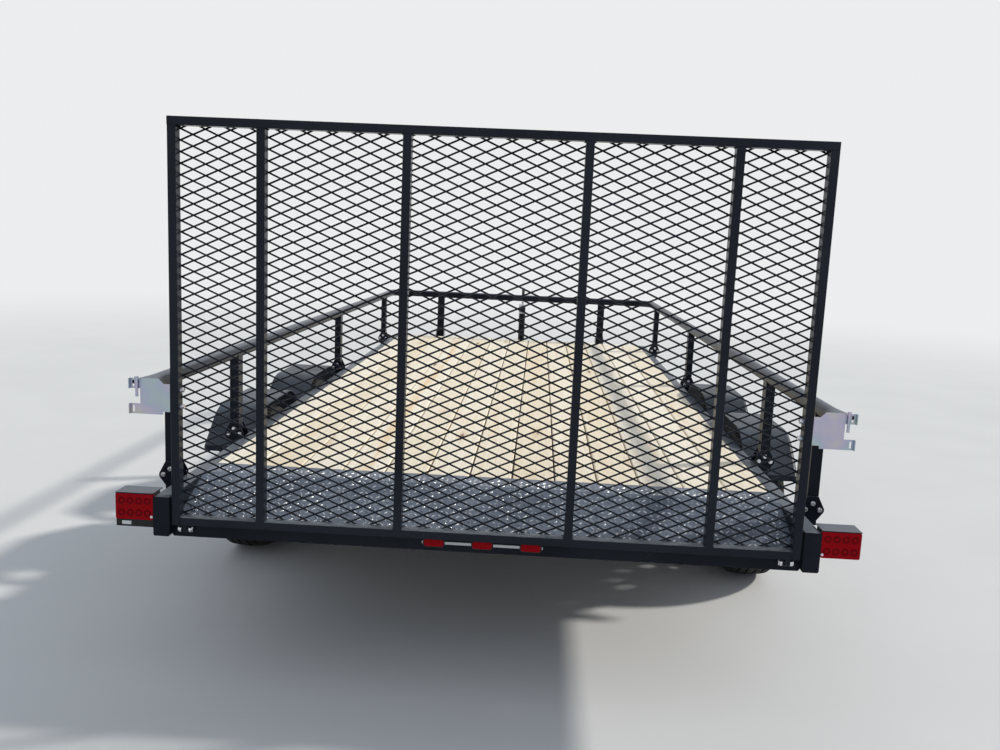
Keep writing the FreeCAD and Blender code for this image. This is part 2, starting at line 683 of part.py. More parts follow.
def leaf_spring(station):
    """A stepped leaf pack with an eye at each end and the tie plate over its middle."""
    leaves = [leaf(station, index, half) for index, half in enumerate(LEAF_HALVES)]
    leaves.append(block(RAIL_MID - TIE_HALF_WIDE, RAIL_MID + TIE_HALF_WIDE, station - TIE_HALF_LONG,
                        station + TIE_HALF_LONG, SPRING_TOP - LEAF_THICK / 2, SPRING_TOP + TIE_THICK))
    spring = leaves[0].fuse(leaves[1:])
    for way in (-1, 1):
        low = at(RAIL_MID - SPRING_WIDTH / 2, station + way * SPRING_HALF, EYE_HEIGHT)
        high = low + X_AXIS * SPRING_WIDTH
        spring = spring.fuse(rod(low, high, EYE_R))
        spring = spring.cut(rod(low, high, EYE_BOLT_R + EYE_PLAY))
    return spring.removeSplitter()


def hanger(station, height):
    """A folded bracket under the rail, with the bolt through its cheeks."""
    inner = SPRING_WIDTH / 2 + HANGER_PLAY
    outer = inner + HANGER_PLATE
    half = HANGER_WIDE / 2
    top = block(RAIL_MID - outer, RAIL_MID + outer, station - half, station + half,
                RAIL_BOTTOM - HANGER_PLATE, RAIL_BOTTOM)
    cheeks = []
    for low, high in ((-outer, -inner), (inner, outer)):
        outline = [
            at(RAIL_MID + low, station - half, RAIL_BOTTOM),
            at(RAIL_MID + low, station + half, RAIL_BOTTOM),
            at(RAIL_MID + low, station + EYE_R, height),
            at(RAIL_MID + low, station - EYE_R, height),
        ]
        cheeks.append(prism(outline, X_AXIS * HANGER_PLATE))
        cheeks.append(rod(at(RAIL_MID + low, station, height), at(RAIL_MID + high, station, height), EYE_R))
    bolt = rod(at(RAIL_MID - outer, station, height), at(RAIL_MID + outer, station, height), EYE_BOLT_R)
    return top.fuse(cheeks + [bolt]).removeSplitter()


def equalizer():
    """The rocker that shares the load between the two springs, bowed up at its ends."""
    reach = TANDEM_SPREAD / 2 - SPRING_HALF
    arm_height = EYE_HEIGHT + SHACKLE_LONG
    height = arm_height - EQUALIZER_DROP
    low = RAIL_MID - SPRING_WIDTH / 2
    outline = [
        at(low, TANDEM_AT - reach, arm_height + EYE_R), at(low, TANDEM_AT - reach, arm_height - EYE_R),
        at(low, TANDEM_AT, height - EQUALIZER_BOSS),
        at(low, TANDEM_AT + reach, arm_height - EYE_R), at(low, TANDEM_AT + reach, arm_height + EYE_R),
        at(low, TANDEM_AT, height + EYE_R),
    ]
    rocker = prism(outline, X_AXIS * SPRING_WIDTH)
    holes = []
    for offset, middle in ((0.0, height), (-reach, arm_height), (reach, arm_height)):
        start = at(low, TANDEM_AT + offset, middle)
        rocker = rocker.fuse(rod(start, start + X_AXIS * SPRING_WIDTH, EYE_R))
        holes.append(rod(start, start + X_AXIS * SPRING_WIDTH, EYE_BOLT_R + EYE_PLAY))
    return rocker.cut(holes).removeSplitter()


def shackle(station):
    """Two upright link plates and their bolts between a spring's eye and the equalizer's arm."""
    inner = SPRING_WIDTH / 2 + EYE_PLAY
    outer = inner + SHACKLE_PLATE
    arm_height = EYE_HEIGHT + SHACKLE_LONG
    parts = []
    for low, high in ((-outer, -inner), (inner, outer)):
        parts.append(block(RAIL_MID + low, RAIL_MID + high, station - SHACKLE_R, station + SHACKLE_R,
                           EYE_HEIGHT, arm_height))
        for height in (EYE_HEIGHT, arm_height):
            parts.append(rod(at(RAIL_MID + low, station, height), at(RAIL_MID + high, station, height),
                             SHACKLE_R))
    for height in (EYE_HEIGHT, arm_height):
        parts.append(rod(at(RAIL_MID - outer, station, height), at(RAIL_MID + outer, station, height),
                         EYE_BOLT_R))
    return parts[0].fuse(parts[1:]).removeSplitter()


def revolve_profile(points, centre):
    """A solid turned about the X axis from (x offset, radius) points."""
    corners = [centre + X_AXIS * x + Z_AXIS * radius for x, radius in points]
    face = Part.Face(Part.makePolygon(corners + corners[:1]))
    return face.revolve(centre, X_AXIS, 360)


def faceted_ring(points, centre, sides):
    """The same outline as a many-sided ring, one wedge repeated round the X axis."""
    step = 360.0 / sides
    corners = [centre + X_AXIS * x + Z_AXIS * radius for x, radius in points]
    wire = Part.makePolygon(corners + corners[:1])
    turned = wire.copy()
    turned.rotate(centre, X_AXIS, step)
    wedge = Part.makeLoft([wire, turned], True, True)
    wedges = []
    for index in range(sides):
        turned = wedge.copy()
        turned.rotate(centre, X_AXIS, step * index)
        wedges.append(turned)
    return wedges[0].fuse(wedges[1:]).removeSplitter()


def build_wheels():
    """Tyre, rim and hub for each corner of the running gear."""
    middle = at(WHEEL_CENTRE, TANDEM_AT, AXLE_HEIGHT)
    pieces = {"tyre": tyre(middle), "rim": rim(middle), "hub": hub(middle)}
    for label, station in zip(("rear", "front"), AXLE_STATIONS):
        for kind, piece in pieces.items():
            save_sides(kind + "_" + label, piece.translated(Y_AXIS * (station - TANDEM_AT)))


def tyre(centre):
    """A tyre with a crowned tread and bulging walls."""
    half = TYRE_WIDTH / 2
    bead_top = RIM_R + RIM_LIP + BEAD_PLAY
    rise = TYRE_R - bead_top
    side = [(BEAD_HALF, RIM_R + BEAD_PLAY), (BEAD_HALF, bead_top)]
    side += [(half - inset, bead_top + share * rise) for inset, share in TYRE_WALL]
    return faceted_ring(side + [(-x, radius) for x, radius in reversed(side)], centre, TYRE_SIDES)


def rim(centre):
    """A pressed steel rim: a barrel with lips and a domed disc with round hand holes."""
    lip = RIM_R + RIM_LIP
    well = RIM_R - RIM_WELL
    side = [(RIM_WELL_HALF, well), (RIM_LEDGE_HALF, RIM_R - RIM_SKIN), (BEAD_HALF, RIM_R),
            (BEAD_HALF, lip), (BEAD_HALF + RIM_SKIN, lip)]
    under = [(BEAD_HALF + RIM_SKIN, RIM_R - RIM_SKIN), (RIM_LEDGE_HALF, RIM_R - 2 * RIM_SKIN),
             (RIM_WELL_HALF - RIM_SKIN, well - RIM_SKIN)]
    outline = side + under
    outline += [(-x, radius) for x, radius in reversed(under)]
    outline += [(-x, radius) for x, radius in reversed(side)]
    barrel = revolve_profile(outline, centre)
    bore = HUB_CAP_R + STUD_PLAY
    edge = well - RIM_SKIN / 2
    face = [(0.0, bore), (0.0, DISC_SEAT_R), (DISC_CROWN, DISC_CROWN_R), (-DISC_OFFSET / 2, edge)]
    skin = [(DISC_THICK + x, radius) for x, radius in reversed(face)]
    disc = revolve_profile([(DISC_OFFSET + x, radius) for x, radius in face + skin], centre)
    face_at = centre + X_AXIS * (DISC_OFFSET - DISC_OFFSET / 2)
    deep = DISC_OFFSET / 2 + DISC_CROWN + DISC_THICK
    holes = [ring_hole(face_at, DISC_HOLE_CIRCLE, DISC_HOLE_R, deep, index, DISC_HOLES)
             for index in range(DISC_HOLES)]
    holes += [ring_hole(face_at, STUD_CIRCLE, STUD_R + STUD_PLAY, deep, index, STUD_COUNT)
              for index in range(STUD_COUNT)]
    return barrel.fuse(disc.cut(holes)).removeSplitter()


def ring_hole(centre, circle, radius, thick, index, count):
    """One of a ring of round holes along X."""
    angle = 2 * math.pi * index / count
    offset = FreeCAD.Vector(0, math.sin(angle), math.cos(angle)) * circle
    return Part.makeCylinder(radius, thick, centre + offset, X_AXIS)


def hub(centre):
    """A flanged hub that turns on the spindle, with studs, nuts and a grease cap."""
    face_at = centre + X_AXIS * DISC_OFFSET
    back = face_at - X_AXIS * HUB_FLANGE_THICK
    flange = Part.makeCylinder(HUB_FLANGE_R, HUB_FLANGE_THICK, back, X_AXIS)
    barrel = Part.makeCylinder(HUB_R, HUB_R, back - X_AXIS * HUB_R, X_AXIS)
    cap = Part.makeCylinder(HUB_CAP_R, HUB_R, face_at, X_AXIS)
    rim_edge = [edge for edge in cap.Edges if edge.CenterOfMass.x > face_at.x + HUB_R - 1.0]
    body = flange.fuse([barrel, cap.makeFillet(HUB_CAP_R / 4, rim_edge)])
    for index in range(STUD_COUNT):
        stud = ring_hole(face_at, STUD_CIRCLE, STUD_R, DISC_THICK + NUT_THICK, index, STUD_COUNT)
        turn = 2 * math.pi * index / STUD_COUNT
        offset = FreeCAD.Vector(0, math.sin(turn), math.cos(turn)) * STUD_CIRCLE
        body = body.fuse([stud, hex_nut(face_at + X_AXIS * DISC_THICK + offset)])
    end = centre.x - DISC_OFFSET
    spindle_end = FreeCAD.Vector(end, centre.y, centre.z)
    bore = rod(back - X_AXIS * 2 * HUB_R, spindle_end + X_AXIS * 1.0, SPINDLE_R + HUB_PLAY)
    return body.cut(bore).removeSplitter()


def hex_nut(start):
    """A six-sided nut along X."""
    corners = []
    for index in range(6):
        turn = math.pi * index / 3
        corners.append(start + FreeCAD.Vector(0, math.cos(turn), math.sin(turn)) * NUT_R)
    return prism(corners, X_AXIS * NUT_THICK)


def build_fenders():
    """Four moulded fenders, one over each wheel."""
    save_sides("fenders", [fender(station) for station in AXLE_STATIONS])


def arched(station, inset, low, x0, x1):
    """A solid under the fender's arched outline, inset from its outer skin, down to a height."""
    half = FENDER_HALF - inset
    top = FENDER_TOP - inset
    knee = FENDER_BOTTOM + FENDER_KNEE
    flat = FENDER_FLAT - inset / 2
    body = prism([
        at(x0, station - half, low), at(x0, station - half, knee),
        at(x0, station - flat, top), at(x0, station + flat, top),
        at(x0, station + half, knee), at(x0, station + half, low),
    ], X_AXIS * (x1 - x0))
    shoulders = [edge for edge in body.Edges
                 if is_along(edge, X_AXIS) and abs(edge.CenterOfMass.z - top) < 1e-6]
    return body.makeFillet(FENDER_CROWN_R - inset, shoulders)


def fender(station):
    """A thin arched shell with a rolled outer edge, and an outer side cut out for the wheel."""
    skins = []
    for inset in (0, FENDER_WALL):
        side = FENDER_OUT - inset
        skin = arched(station, inset, FENDER_BOTTOM, RAIL_OUT, side)
        edges = [edge for edge in skin.Edges if abs(edge.CenterOfMass.x - side) < 1e-6
                 and edge.CenterOfMass.z > FENDER_BOTTOM + 1]
        skins.append(skin.makeFillet(FENDER_EDGE_R - inset, edges))
    opening = arched(station, FENDER_SKIRT, FENDER_BOTTOM, RAIL_OUT, FENDER_OUT)
    return skins[0].cut(skins[1]).cut(opening)


def build_tongue():
    """The A-frame beams, coupler and the plate that carries the jack."""
    turn = math.tan(math.radians(BEAM_ANGLE))
    beam = tongue_beam(turn)
    save_sides("tongue_beam", beam)
    rear = JACK_STATION - JACK_PLATE_HALF
    front = JACK_STATION + JACK_PLATE_HALF
    half_rear = BEAM_NOSE + (BEAM_FRONT - rear) * turn
    half_front = BEAM_NOSE + (BEAM_FRONT - front) * turn
    plate = prism([
        at(-half_rear, rear, BEAM_TOP), at(half_rear, rear, BEAM_TOP),
        at(half_front, front, BEAM_TOP), at(-half_front, front, BEAM_TOP),
    ], Z_AXIS * JACK_PLATE_THICK)
    hole = rod(at(0, JACK_STATION, BEAM_TOP), at(0, JACK_STATION, BEAM_TOP + JACK_PLATE_THICK),
               JACK_R + STUD_PLAY)
    save("jack_plate", plate.cut(hole))
    build_coupler(turn)


def tongue_beam(turn):
    """A channel that runs in from the bed's underside to the nose, open side inward."""
    outer = beam_prism(turn, 0, 0, 0)
    inner = beam_prism(turn, BEAM_WEB, BEAM_FLANGE, BEAM_WEB)
    return outer.cut(inner)


def beam_prism(turn, inset, depth, lid):
    """A skewed bar along the tongue's slant, from its outer line inward."""
    skew = 1 / math.cos(math.atan(turn))
    inner = (depth if depth else BEAM_FLANGE) * skew
    near = inset * skew
    rear_x = BEAM_NOSE + (BEAM_FRONT - BEAM_REAR) * turn
    low = BEAM_BOTTOM + lid
    corners = [
        at(rear_x - near, BEAM_REAR, low), at(BEAM_NOSE - near, BEAM_FRONT, low),
        at(BEAM_NOSE - inner, BEAM_FRONT, low), at(rear_x - inner, BEAM_REAR, low),
    ]
    return prism(corners, Z_AXIS * (BEAM_HEIGHT - 2 * lid))


def build_coupler(turn):
    """A pressed coupler over the nose of the tongue, with a domed ball socket and its lever."""
    top = BEAM_TOP + COUPLER_SKIN
    play = COUPLER_PLAY / math.cos(math.atan(turn))
    shell = coupler_taper(turn, play + COUPLER_SKIN, top - COUPLER_SKIRT, top)
    shell = shell.cut(coupler_taper(turn, play, top - COUPLER_SKIRT, BEAM_TOP))
    nose = BALL_R + SOCKET_WALL
    socket_low = top - BALL_SKIRT - BALL_R - SOCKET_WALL
    ball_at = at(0, BALL_STATION, socket_low)
    cup = Part.makeCylinder(nose, top - socket_low, ball_at, Z_AXIS)
    crown = [edge for edge in cup.Edges if edge.CenterOfMass.z > top - 1.0]
    cup = cup.makeFillet(COUPLER_EDGE_R, crown)
    neck = block(-nose, nose, BEAM_FRONT, BALL_STATION, socket_low, top)
    cavity = Part.makeCylinder(BALL_R, BALL_SKIRT, ball_at, Z_AXIS)
    dome = Part.makeSphere(BALL_R, ball_at + Z_AXIS * BALL_SKIRT)
    body = shell.fuse([cup, neck]).cut(cavity.fuse(dome))
    save("coupler", body.removeSplitter())
    build_coupler_latch(top)


def coupler_taper(turn, spread, low, high):
    """A block that follows the tongue's taper from the coupler's rear to the beams' front."""
    rear_half = BEAM_NOSE + (BEAM_FRONT - COUPLER_REAR) * turn + spread
    front_half = BEAM_NOSE + spread
    return prism([
        at(-rear_half, COUPLER_REAR, low), at(rear_half, COUPLER_REAR, low),
        at(front_half, BEAM_FRONT, low), at(-front_half, BEAM_FRONT, low),
    ], Z_AXIS * (high - low))


def build_coupler_latch(top):
    """The lever over the socket: a bent strap from its pivot to a raised thumb end."""
    pivot = BALL_STATION - LATCH_PIVOT + LATCH_LONG
    rear = BALL_STATION - LATCH_PIVOT
    middle = (pivot + rear) / 2
    side = [(pivot, 0), (middle, 0), (rear, LATCH_RISE), (rear, LATCH_RISE + LATCH_STOCK),
            (middle, LATCH_STOCK), (pivot, LATCH_STOCK)]
    strap = prism([at(-LATCH_HALF, station, top + rise) for station, rise in side],
                  X_AXIS * 2 * LATCH_HALF)
    save("coupler_latch", strap)


def build_jack():
    """The parking jack: outer tube, leg, foot, cap, ring and crank."""
    plate_top = BEAM_TOP + JACK_PLATE_THICK
    tube = pipe(at(0, JACK_STATION, JACK_BOTTOM), at(0, JACK_STATION, JACK_TOP), JACK_R, JACK_WALL)
    flange = rod(at(0, JACK_STATION, plate_top), at(0, JACK_STATION, plate_top + JACK_FLANGE_THICK),
                 JACK_FLANGE_R)
    flange = flange.cut(rod(at(0, JACK_STATION, plate_top),
                            at(0, JACK_STATION, plate_top + JACK_FLANGE_THICK), JACK_R))
    save("jack_tube", tube.fuse(flange).removeSplitter())
    leg_r = JACK_R - JACK_WALL - JACK_LEG_PLAY
    leg = rod(at(0, JACK_STATION, 0), at(0, JACK_STATION, plate_top), leg_r)
    foot = block(-JACK_FOOT_HALF, JACK_FOOT_HALF, JACK_STATION - JACK_FOOT_HALF,
                 JACK_STATION + JACK_FOOT_HALF, 0, JACK_FOOT_THICK)
    save("jack_leg", leg.fuse(softened(foot, JACK_FOOT_THICK * 3, Z_AXIS)).removeSplitter())
    cap = rod(at(0, JACK_STATION, JACK_TOP), at(0, JACK_STATION, JACK_TOP + JACK_CAP_HIGH), JACK_CAP_R)
    rim_edge = [edge for edge in cap.Edges if edge.CenterOfMass.z > JACK_TOP + JACK_CAP_HIGH - 1.0]
    cap = cap.makeFillet(JACK_CAP_EDGE, rim_edge)
    ring = pipe(at(0, JACK_STATION, JACK_RING_Z), at(0, JACK_STATION, JACK_RING_Z + JACK_RING_HIGH),
                JACK_RING_R, JACK_RING_R - JACK_R)
    save("jack_fittings", [cap, ring])
    hub_top = JACK_TOP + JACK_CAP_HIGH
    arm_z = hub_top + CRANK_RISE / 2
    hub_rod = rod(at(0, JACK_STATION, hub_top), at(0, JACK_STATION, hub_top + CRANK_RISE), CRANK_BOSS_R)
    arm = rod(at(0, JACK_STATION, arm_z), at(0, JACK_STATION + CRANK_ARM, arm_z), CRANK_R)
    stem = rod(at(0, JACK_STATION + CRANK_ARM, arm_z - CRANK_BOSS_R),
               at(0, JACK_STATION + CRANK_ARM, arm_z + CRANK_RISE), CRANK_BOSS_R)
    save("jack_crank", hub_rod.fuse([arm, stem]).removeSplitter())
    grip_low = at(0, JACK_STATION + CRANK_ARM, arm_z + CRANK_RISE)
    save("crank_grip", rod(grip_low, grip_low + Z_AXIS * GRIP_LONG, GRIP_R))


def build_lamps():
    """Tail lamps in housings, the middle lamp bar, plate lamp and side markers."""
    high = TAIL_LOW + TAIL_HIGH
    housing = block(RAIL_OUT, RAIL_OUT + TAIL_LONG, TAIL_LENS, TAIL_DEEP + TAIL_LENS, TAIL_LOW, high)
    save("tail_housings", both(housing))
    lens = block(RAIL_OUT, RAIL_OUT + TAIL_LONG, 0, TAIL_LENS, TAIL_LOW, high)
    save("tail_lenses", both(softened(lens, TAIL_EDGE, Y_AXIS)))
    hood = block(RAIL_OUT, RAIL_OUT + TAIL_LONG, 0, HOOD_DEEP, high, high + HOOD_THICK)
    save("tail_hoods", both(hood))
    lamp_low = TAIL_LOW - PLATE_LAMP_HIGH
    plate_lamp = block(-RAIL_OUT - TAIL_LONG, -RAIL_OUT, PLATE_LAMP_INSET, TAIL_LENS + TAIL_DEEP,
                       lamp_low, TAIL_LOW)
    window_left = PLATE_WINDOW_IN - RAIL_OUT - TAIL_LONG
    window_low = lamp_low + (PLATE_LAMP_HIGH - PLATE_WINDOW_HIGH) / 2
    recess = block(window_left, window_left + PLATE_WINDOW_LONG, PLATE_LAMP_INSET,
                   2 * PLATE_LAMP_INSET, window_low, window_low + PLATE_WINDOW_HIGH)
    save("plate_lamp", plate_lamp.cut(recess))
    bar_low = ID_LOW + (ID_HIGH - ID_BAR_HIGH) / 2
    bar = block(-ID_BAR_HALF, ID_BAR_HALF, SILL_REAR - ID_BAR_THICK, SILL_REAR,
                bar_low, bar_low + ID_BAR_HIGH)
    save("lamp_bar", bar)
    lamps = []
    for index in (-1, 0, 1):
        middle = index * ID_PITCH
        lamp = block(middle - ID_LONG / 2, middle + ID_LONG / 2, SILL_REAR - ID_BAR_THICK - ID_DEEP,
                     SILL_REAR - ID_BAR_THICK, ID_LOW, ID_LOW + ID_HIGH)
        lamps.append(softened(lamp, ID_HIGH / 3, Y_AXIS))
    save("middle_lamps", lamps)
    middle = RAIL_TOP - RAIL_HEIGHT / 2
    marker_at = BED_LENGTH - MARKER_BACK
    marker = block(RAIL_OUT, RAIL_OUT + MARKER_DEEP, marker_at - MARKER_LONG / 2,
                   marker_at + MARKER_LONG / 2, middle - MARKER_HIGH / 2, middle + MARKER_HIGH / 2)
    save("side_markers", both(softened(marker, MARKER_HIGH / 3, X_AXIS)))


build_frame()
build_deck()
build_gate()
build_rails()
build_running_gear()
build_wheels()
build_fenders()
build_tongue()
build_jack()
build_lamps()
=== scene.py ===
"""Looks of the tandem-axle utility trailer, seen from behind its closed loading gate."""
import json
import math

import bmesh
import bpy
from mathutils import Matrix, Vector

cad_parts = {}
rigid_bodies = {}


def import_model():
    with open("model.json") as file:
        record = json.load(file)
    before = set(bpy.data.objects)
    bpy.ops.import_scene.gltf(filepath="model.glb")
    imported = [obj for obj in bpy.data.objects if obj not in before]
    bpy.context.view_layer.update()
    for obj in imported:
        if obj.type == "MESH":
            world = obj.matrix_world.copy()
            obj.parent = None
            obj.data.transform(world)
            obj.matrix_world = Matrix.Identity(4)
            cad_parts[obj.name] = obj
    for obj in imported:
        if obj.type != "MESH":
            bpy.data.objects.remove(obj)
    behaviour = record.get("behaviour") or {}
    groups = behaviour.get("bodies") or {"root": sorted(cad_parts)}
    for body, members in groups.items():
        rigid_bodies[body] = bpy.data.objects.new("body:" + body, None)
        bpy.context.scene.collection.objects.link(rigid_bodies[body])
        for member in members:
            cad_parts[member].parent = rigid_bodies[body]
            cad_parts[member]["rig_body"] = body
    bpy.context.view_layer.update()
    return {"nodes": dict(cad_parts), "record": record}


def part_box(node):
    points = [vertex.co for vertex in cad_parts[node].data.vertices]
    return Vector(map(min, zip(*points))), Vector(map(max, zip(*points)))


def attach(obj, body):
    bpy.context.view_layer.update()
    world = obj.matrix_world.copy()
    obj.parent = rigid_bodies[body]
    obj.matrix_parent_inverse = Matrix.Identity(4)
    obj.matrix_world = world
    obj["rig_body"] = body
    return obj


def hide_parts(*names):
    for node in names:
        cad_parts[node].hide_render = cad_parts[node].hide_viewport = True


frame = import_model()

scene = bpy.context.scene

# Camera: the viewer stands 2.7 m behind the gate at eye height, a little right of the
# centre line, and looks slightly down and left with the horizon tipped to the right.
EYE = Vector((0.1354, -5.7065, 1.496))
HEADING, TILT, LEAN = -0.0379, -0.1542, 0.0436
LENS = 32.49
ahead = Vector((math.sin(HEADING) * math.cos(TILT), math.cos(HEADING) * math.cos(TILT), math.sin(TILT)))
level = Vector((math.cos(HEADING), -math.sin(HEADING), 0.0))
overhead = level.cross(ahead)
across = level * math.cos(LEAN) + overhead * math.sin(LEAN)
upward = overhead * math.cos(LEAN) - level * math.sin(LEAN)
viewer = bpy.data.objects.new("viewer", bpy.data.cameras.new("viewer"))
viewer.data.lens = LENS
viewer.data.sensor_width = 36.0
viewer.data.clip_end = 200.0
viewer.matrix_world = Matrix((across, upward, -ahead)).transposed().to_4x4()
viewer.location = EYE
scene.collection.objects.link(viewer)
scene.camera = viewer
scene.view_settings.view_transform = "Standard"


# Studio: a pale floor that fades into a pale surround, a soft warm sun 34 degrees up on the
# trailer's right and a little ahead, as on the day, and even cool daylight from all round.
class Level:
    """A value that changes over a surface, so that a finish reads as plain arithmetic."""

    def __init__(self, coat, socket):
        self.coat = coat
        self.socket = socket

    def sum(self, operation, *values):
        return self.coat.node("ShaderNodeMath", {"operation": operation}, dict(enumerate(values)))

    def __add__(self, other):
        return self.sum("ADD", self, other)

    __radd__ = __add__

    def __mul__(self, other):
        return self.sum("MULTIPLY", self, other)

    def __sub__(self, other):
        return self.sum("SUBTRACT", self, other)

    def __rsub__(self, other):
        return self.sum("SUBTRACT", other, self)

    def __pow__(self, other):
        return self.sum("POWER", self, other)

    def rise(self, low, high):
        """0 below the low value and 1 above the high one."""
        sockets = {"Value": self, "From Min": low, "From Max": high}
        return self.coat.node("ShaderNodeMapRange", {"interpolation_type": "SMOOTHSTEP"}, sockets)

    def size(self):
        """The value without its sign."""
        return self.sum("ABSOLUTE", self)

    def near(self, value, reach):
        """1 at the value, and 0 further from it than the reach."""
        return 1.0 - (self - value).size().rise(0.0, reach)

    def blend(self, first, second):
        """The first colour at 0 and the second at 1."""
        return self.coat.node("ShaderNodeMix", {"data_type": "RGBA"}, {0: self, 6: first, 7: second}, 2)


class Coat:
    """A finish: a shader with plain values, and the nodes that vary it over the surface."""

    def __init__(self, name, **plain):
        self.material = bpy.data.materials.new(name)
        self.material.use_nodes = True
        self.tree = self.material.node_tree
        self.shader = self.tree.nodes["Principled BSDF"]
        for key, value in plain.items():
            self.shader.inputs[key.replace("_", " ")].default_value = value
        self.place = self.node("ShaderNodeTexCoord", {}, {}, "Object")
        self.outward = Level(self, self.place.socket.node.outputs["Normal"])

    def node(self, kind, settings, sockets, output=0):
        """Adds a node: its settings first, then the values or links of its sockets."""
        made = self.tree.nodes.new(kind)
        for key, value in settings.items():
            if key == "stops":
                ramp = made.color_ramp.elements
                while len(ramp) < len(value):
                    ramp.new(1.0)
                for stop, (position, colour) in zip(ramp, value):
                    stop.position = position
                    stop.color = colour
            else:
                setattr(made, key, value)
        for key, value in sockets.items():
            self.feed(made.inputs[key], value)
        return Level(self, made.outputs[output])

    def feed(self, socket, value):
        if isinstance(value, Level):
            self.tree.links.new(value.socket, socket)
        else:
            socket.default_value = value

    def noise(self, scale, detail=3.0, stretch=(1.0, 1.0, 1.0), where=None):
        """Cloudy variation, finer with a larger scale, drawn out along the small stretch."""
        vector = self.node("ShaderNodeMapping", {}, {"Vector": where or self.place, "Scale": stretch})
        return self.node("ShaderNodeTexNoise", {}, {"Vector": vector, "Scale": scale, "Detail": detail})

    def cells(self, scale):
        """Distance from the middle of each of many small cells."""
        return self.node("ShaderNodeTexVoronoi", {}, {"Vector": self.place, "Scale": scale}, "Distance")

    def axis(self, name):
        """One coordinate of the trailer's frame, in metres."""
        return self.node("ShaderNodeSeparateXYZ", {}, {0: self.place}, name)

    def facing(self, name):
        """How far the surface faces along one axis."""
        return self.node("ShaderNodeSeparateXYZ", {}, {0: self.outward}, name)

    def wear(self, colour=None, roughness=None, metallic=None, relief=None, depth=0.0004):
        """Joins what varies to the shader; relief is a height whose full step is the depth."""
        if colour is not None:
            self.feed(self.shader.inputs["Base Color"], colour)
        if roughness is not None:
            self.feed(self.shader.inputs["Roughness"], roughness)
        if metallic is not None:
            self.feed(self.shader.inputs["Metallic"], metallic)
        if relief is not None:
            bump = self.node("ShaderNodeBump", {}, {"Strength": 1.0, "Distance": depth, "Height": relief})
            self.feed(self.shader.inputs["Normal"], bump)
        return self

    def onto(self, *names):
        """Lays the finish on pieces that keep their modelled shape."""
        for name in names:
            mesh = frame["nodes"][name].data
            mesh.materials.clear()
            mesh.materials.append(self.material)


PALE = (0.84, 0.85, 0.86, 1.0)
FLOOR_REACH, FADE_FROM, FADE_TO = 60.0, 5.0, 16.0
sheet = bmesh.new()
bmesh.ops.create_circle(sheet, cap_ends=True, radius=FLOOR_REACH, segments=96)
floor_mesh = bpy.data.meshes.new("floor")
sheet.to_mesh(floor_mesh)
sheet.free()
floor = bpy.data.objects.new("floor", floor_mesh)
scene.collection.objects.link(floor)
ground = Coat("pale_floor", Roughness=0.9, Specular_IOR_Level=0.0)
ground.wear(colour=ground.noise(1.2).rise(0.2, 0.8).blend((0.70, 0.71, 0.72, 1.0), (0.73, 0.74, 0.75, 1.0)))
distance = ground.node("ShaderNodeVectorMath", {"operation": "LENGTH"}, {0: ground.place}, "Value")
haze = ground.node("ShaderNodeEmission", {}, {"Color": PALE, "Strength": 1.0})
faded = ground.node("ShaderNodeMixShader", {}, {
    0: distance.rise(FADE_FROM, FADE_TO), 1: Level(ground, ground.shader.outputs[0]), 2: haze})
ground.feed(ground.tree.nodes["Material Output"].inputs["Surface"], faded)
floor_mesh.materials.append(ground.material)

DAYLIGHT = 0.57
surround = bpy.data.worlds.new("surround")
surround.use_nodes = True
scene.world = surround
sky = surround.node_tree
seen = sky.nodes.new("ShaderNodeLightPath")
mirrored = sky.nodes.new("ShaderNodeMath")
mirrored.operation = "MAXIMUM"
sky.links.new(seen.outputs["Is Glossy Ray"], mirrored.inputs[0])
sky.links.new(seen.outputs["Is Transmission Ray"], mirrored.inputs[1])
shown = sky.nodes.new("ShaderNodeMath")
shown.operation = "MAXIMUM"
sky.links.new(mirrored.outputs[0], shown.inputs[0])
sky.links.new(seen.outputs["Is Camera Ray"], shown.inputs[1])
backdrop = sky.nodes.new("ShaderNodeBackground")
backdrop.inputs["Color"].default_value = PALE
daylight = sky.nodes["Background"]
daylight.inputs["Color"].default_value = (0.86, 0.92, 1.0, 1.0)
daylight.inputs["Strength"].default_value = DAYLIGHT
choice = sky.nodes.new("ShaderNodeMixShader")
sky.links.new(shown.outputs[0], choice.inputs[0])
sky.links.new(daylight.outputs[0], choice.inputs[1])
sky.links.new(backdrop.outputs[0], choice.inputs[2])
sky.links.new(choice.outputs[0], sky.nodes["World Output"].inputs["Surface"])

SUN_WAY = Vector((-0.777, -0.282, -0.563))
sun = bpy.data.objects.new("sun", bpy.data.lights.new("sun", "SUN"))
sun.data.energy = 2.65
sun.data.angle = 0.07
sun.data.color = (1.0, 0.95, 0.86)
sun.rotation_euler = SUN_WAY.to_track_quat("-Z", "Y").to_euler()
scene.collection.objects.link(sun)


# Bed frame: rectangular steel tube and channel, welded and coated black in powder, with a fine
# orange peel, a painted satin blue-grey sheen and dust on what faces up, and road film low down.
HALF_LENGTH = 3.0245
SLOTS = {part["node"]: part["material_slot"] for part in frame["record"]["subparts"]}
MERGE, FLAT_TURN, ARRIS_TURN = 0.00001, 0.004, 0.6


def spot(x, station, z):
    """A point by its distance ahead of the gate's rear face, in metres."""
    return Vector((x, station - HALF_LENGTH, z))


def piece(name, shape, coat, body, slot, *nodes, sharp=ARRIS_TURN):
    """Turns a finished shape into a piece that rides on one body of the trailer."""
    for edge in shape.edges:
        edge.smooth = edge.smooth and len(edge.link_faces) == 2 and edge.calc_face_angle(math.pi) < sharp
    for face in shape.faces:
        face.smooth = True
    mesh = bpy.data.meshes.new(name)
    shape.to_mesh(mesh)
    shape.free()
    mesh.materials.append(coat.material)
    made = bpy.data.objects.new(name, mesh)
    scene.collection.objects.link(made)
    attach(made, body)
    if nodes:
        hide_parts(*nodes)


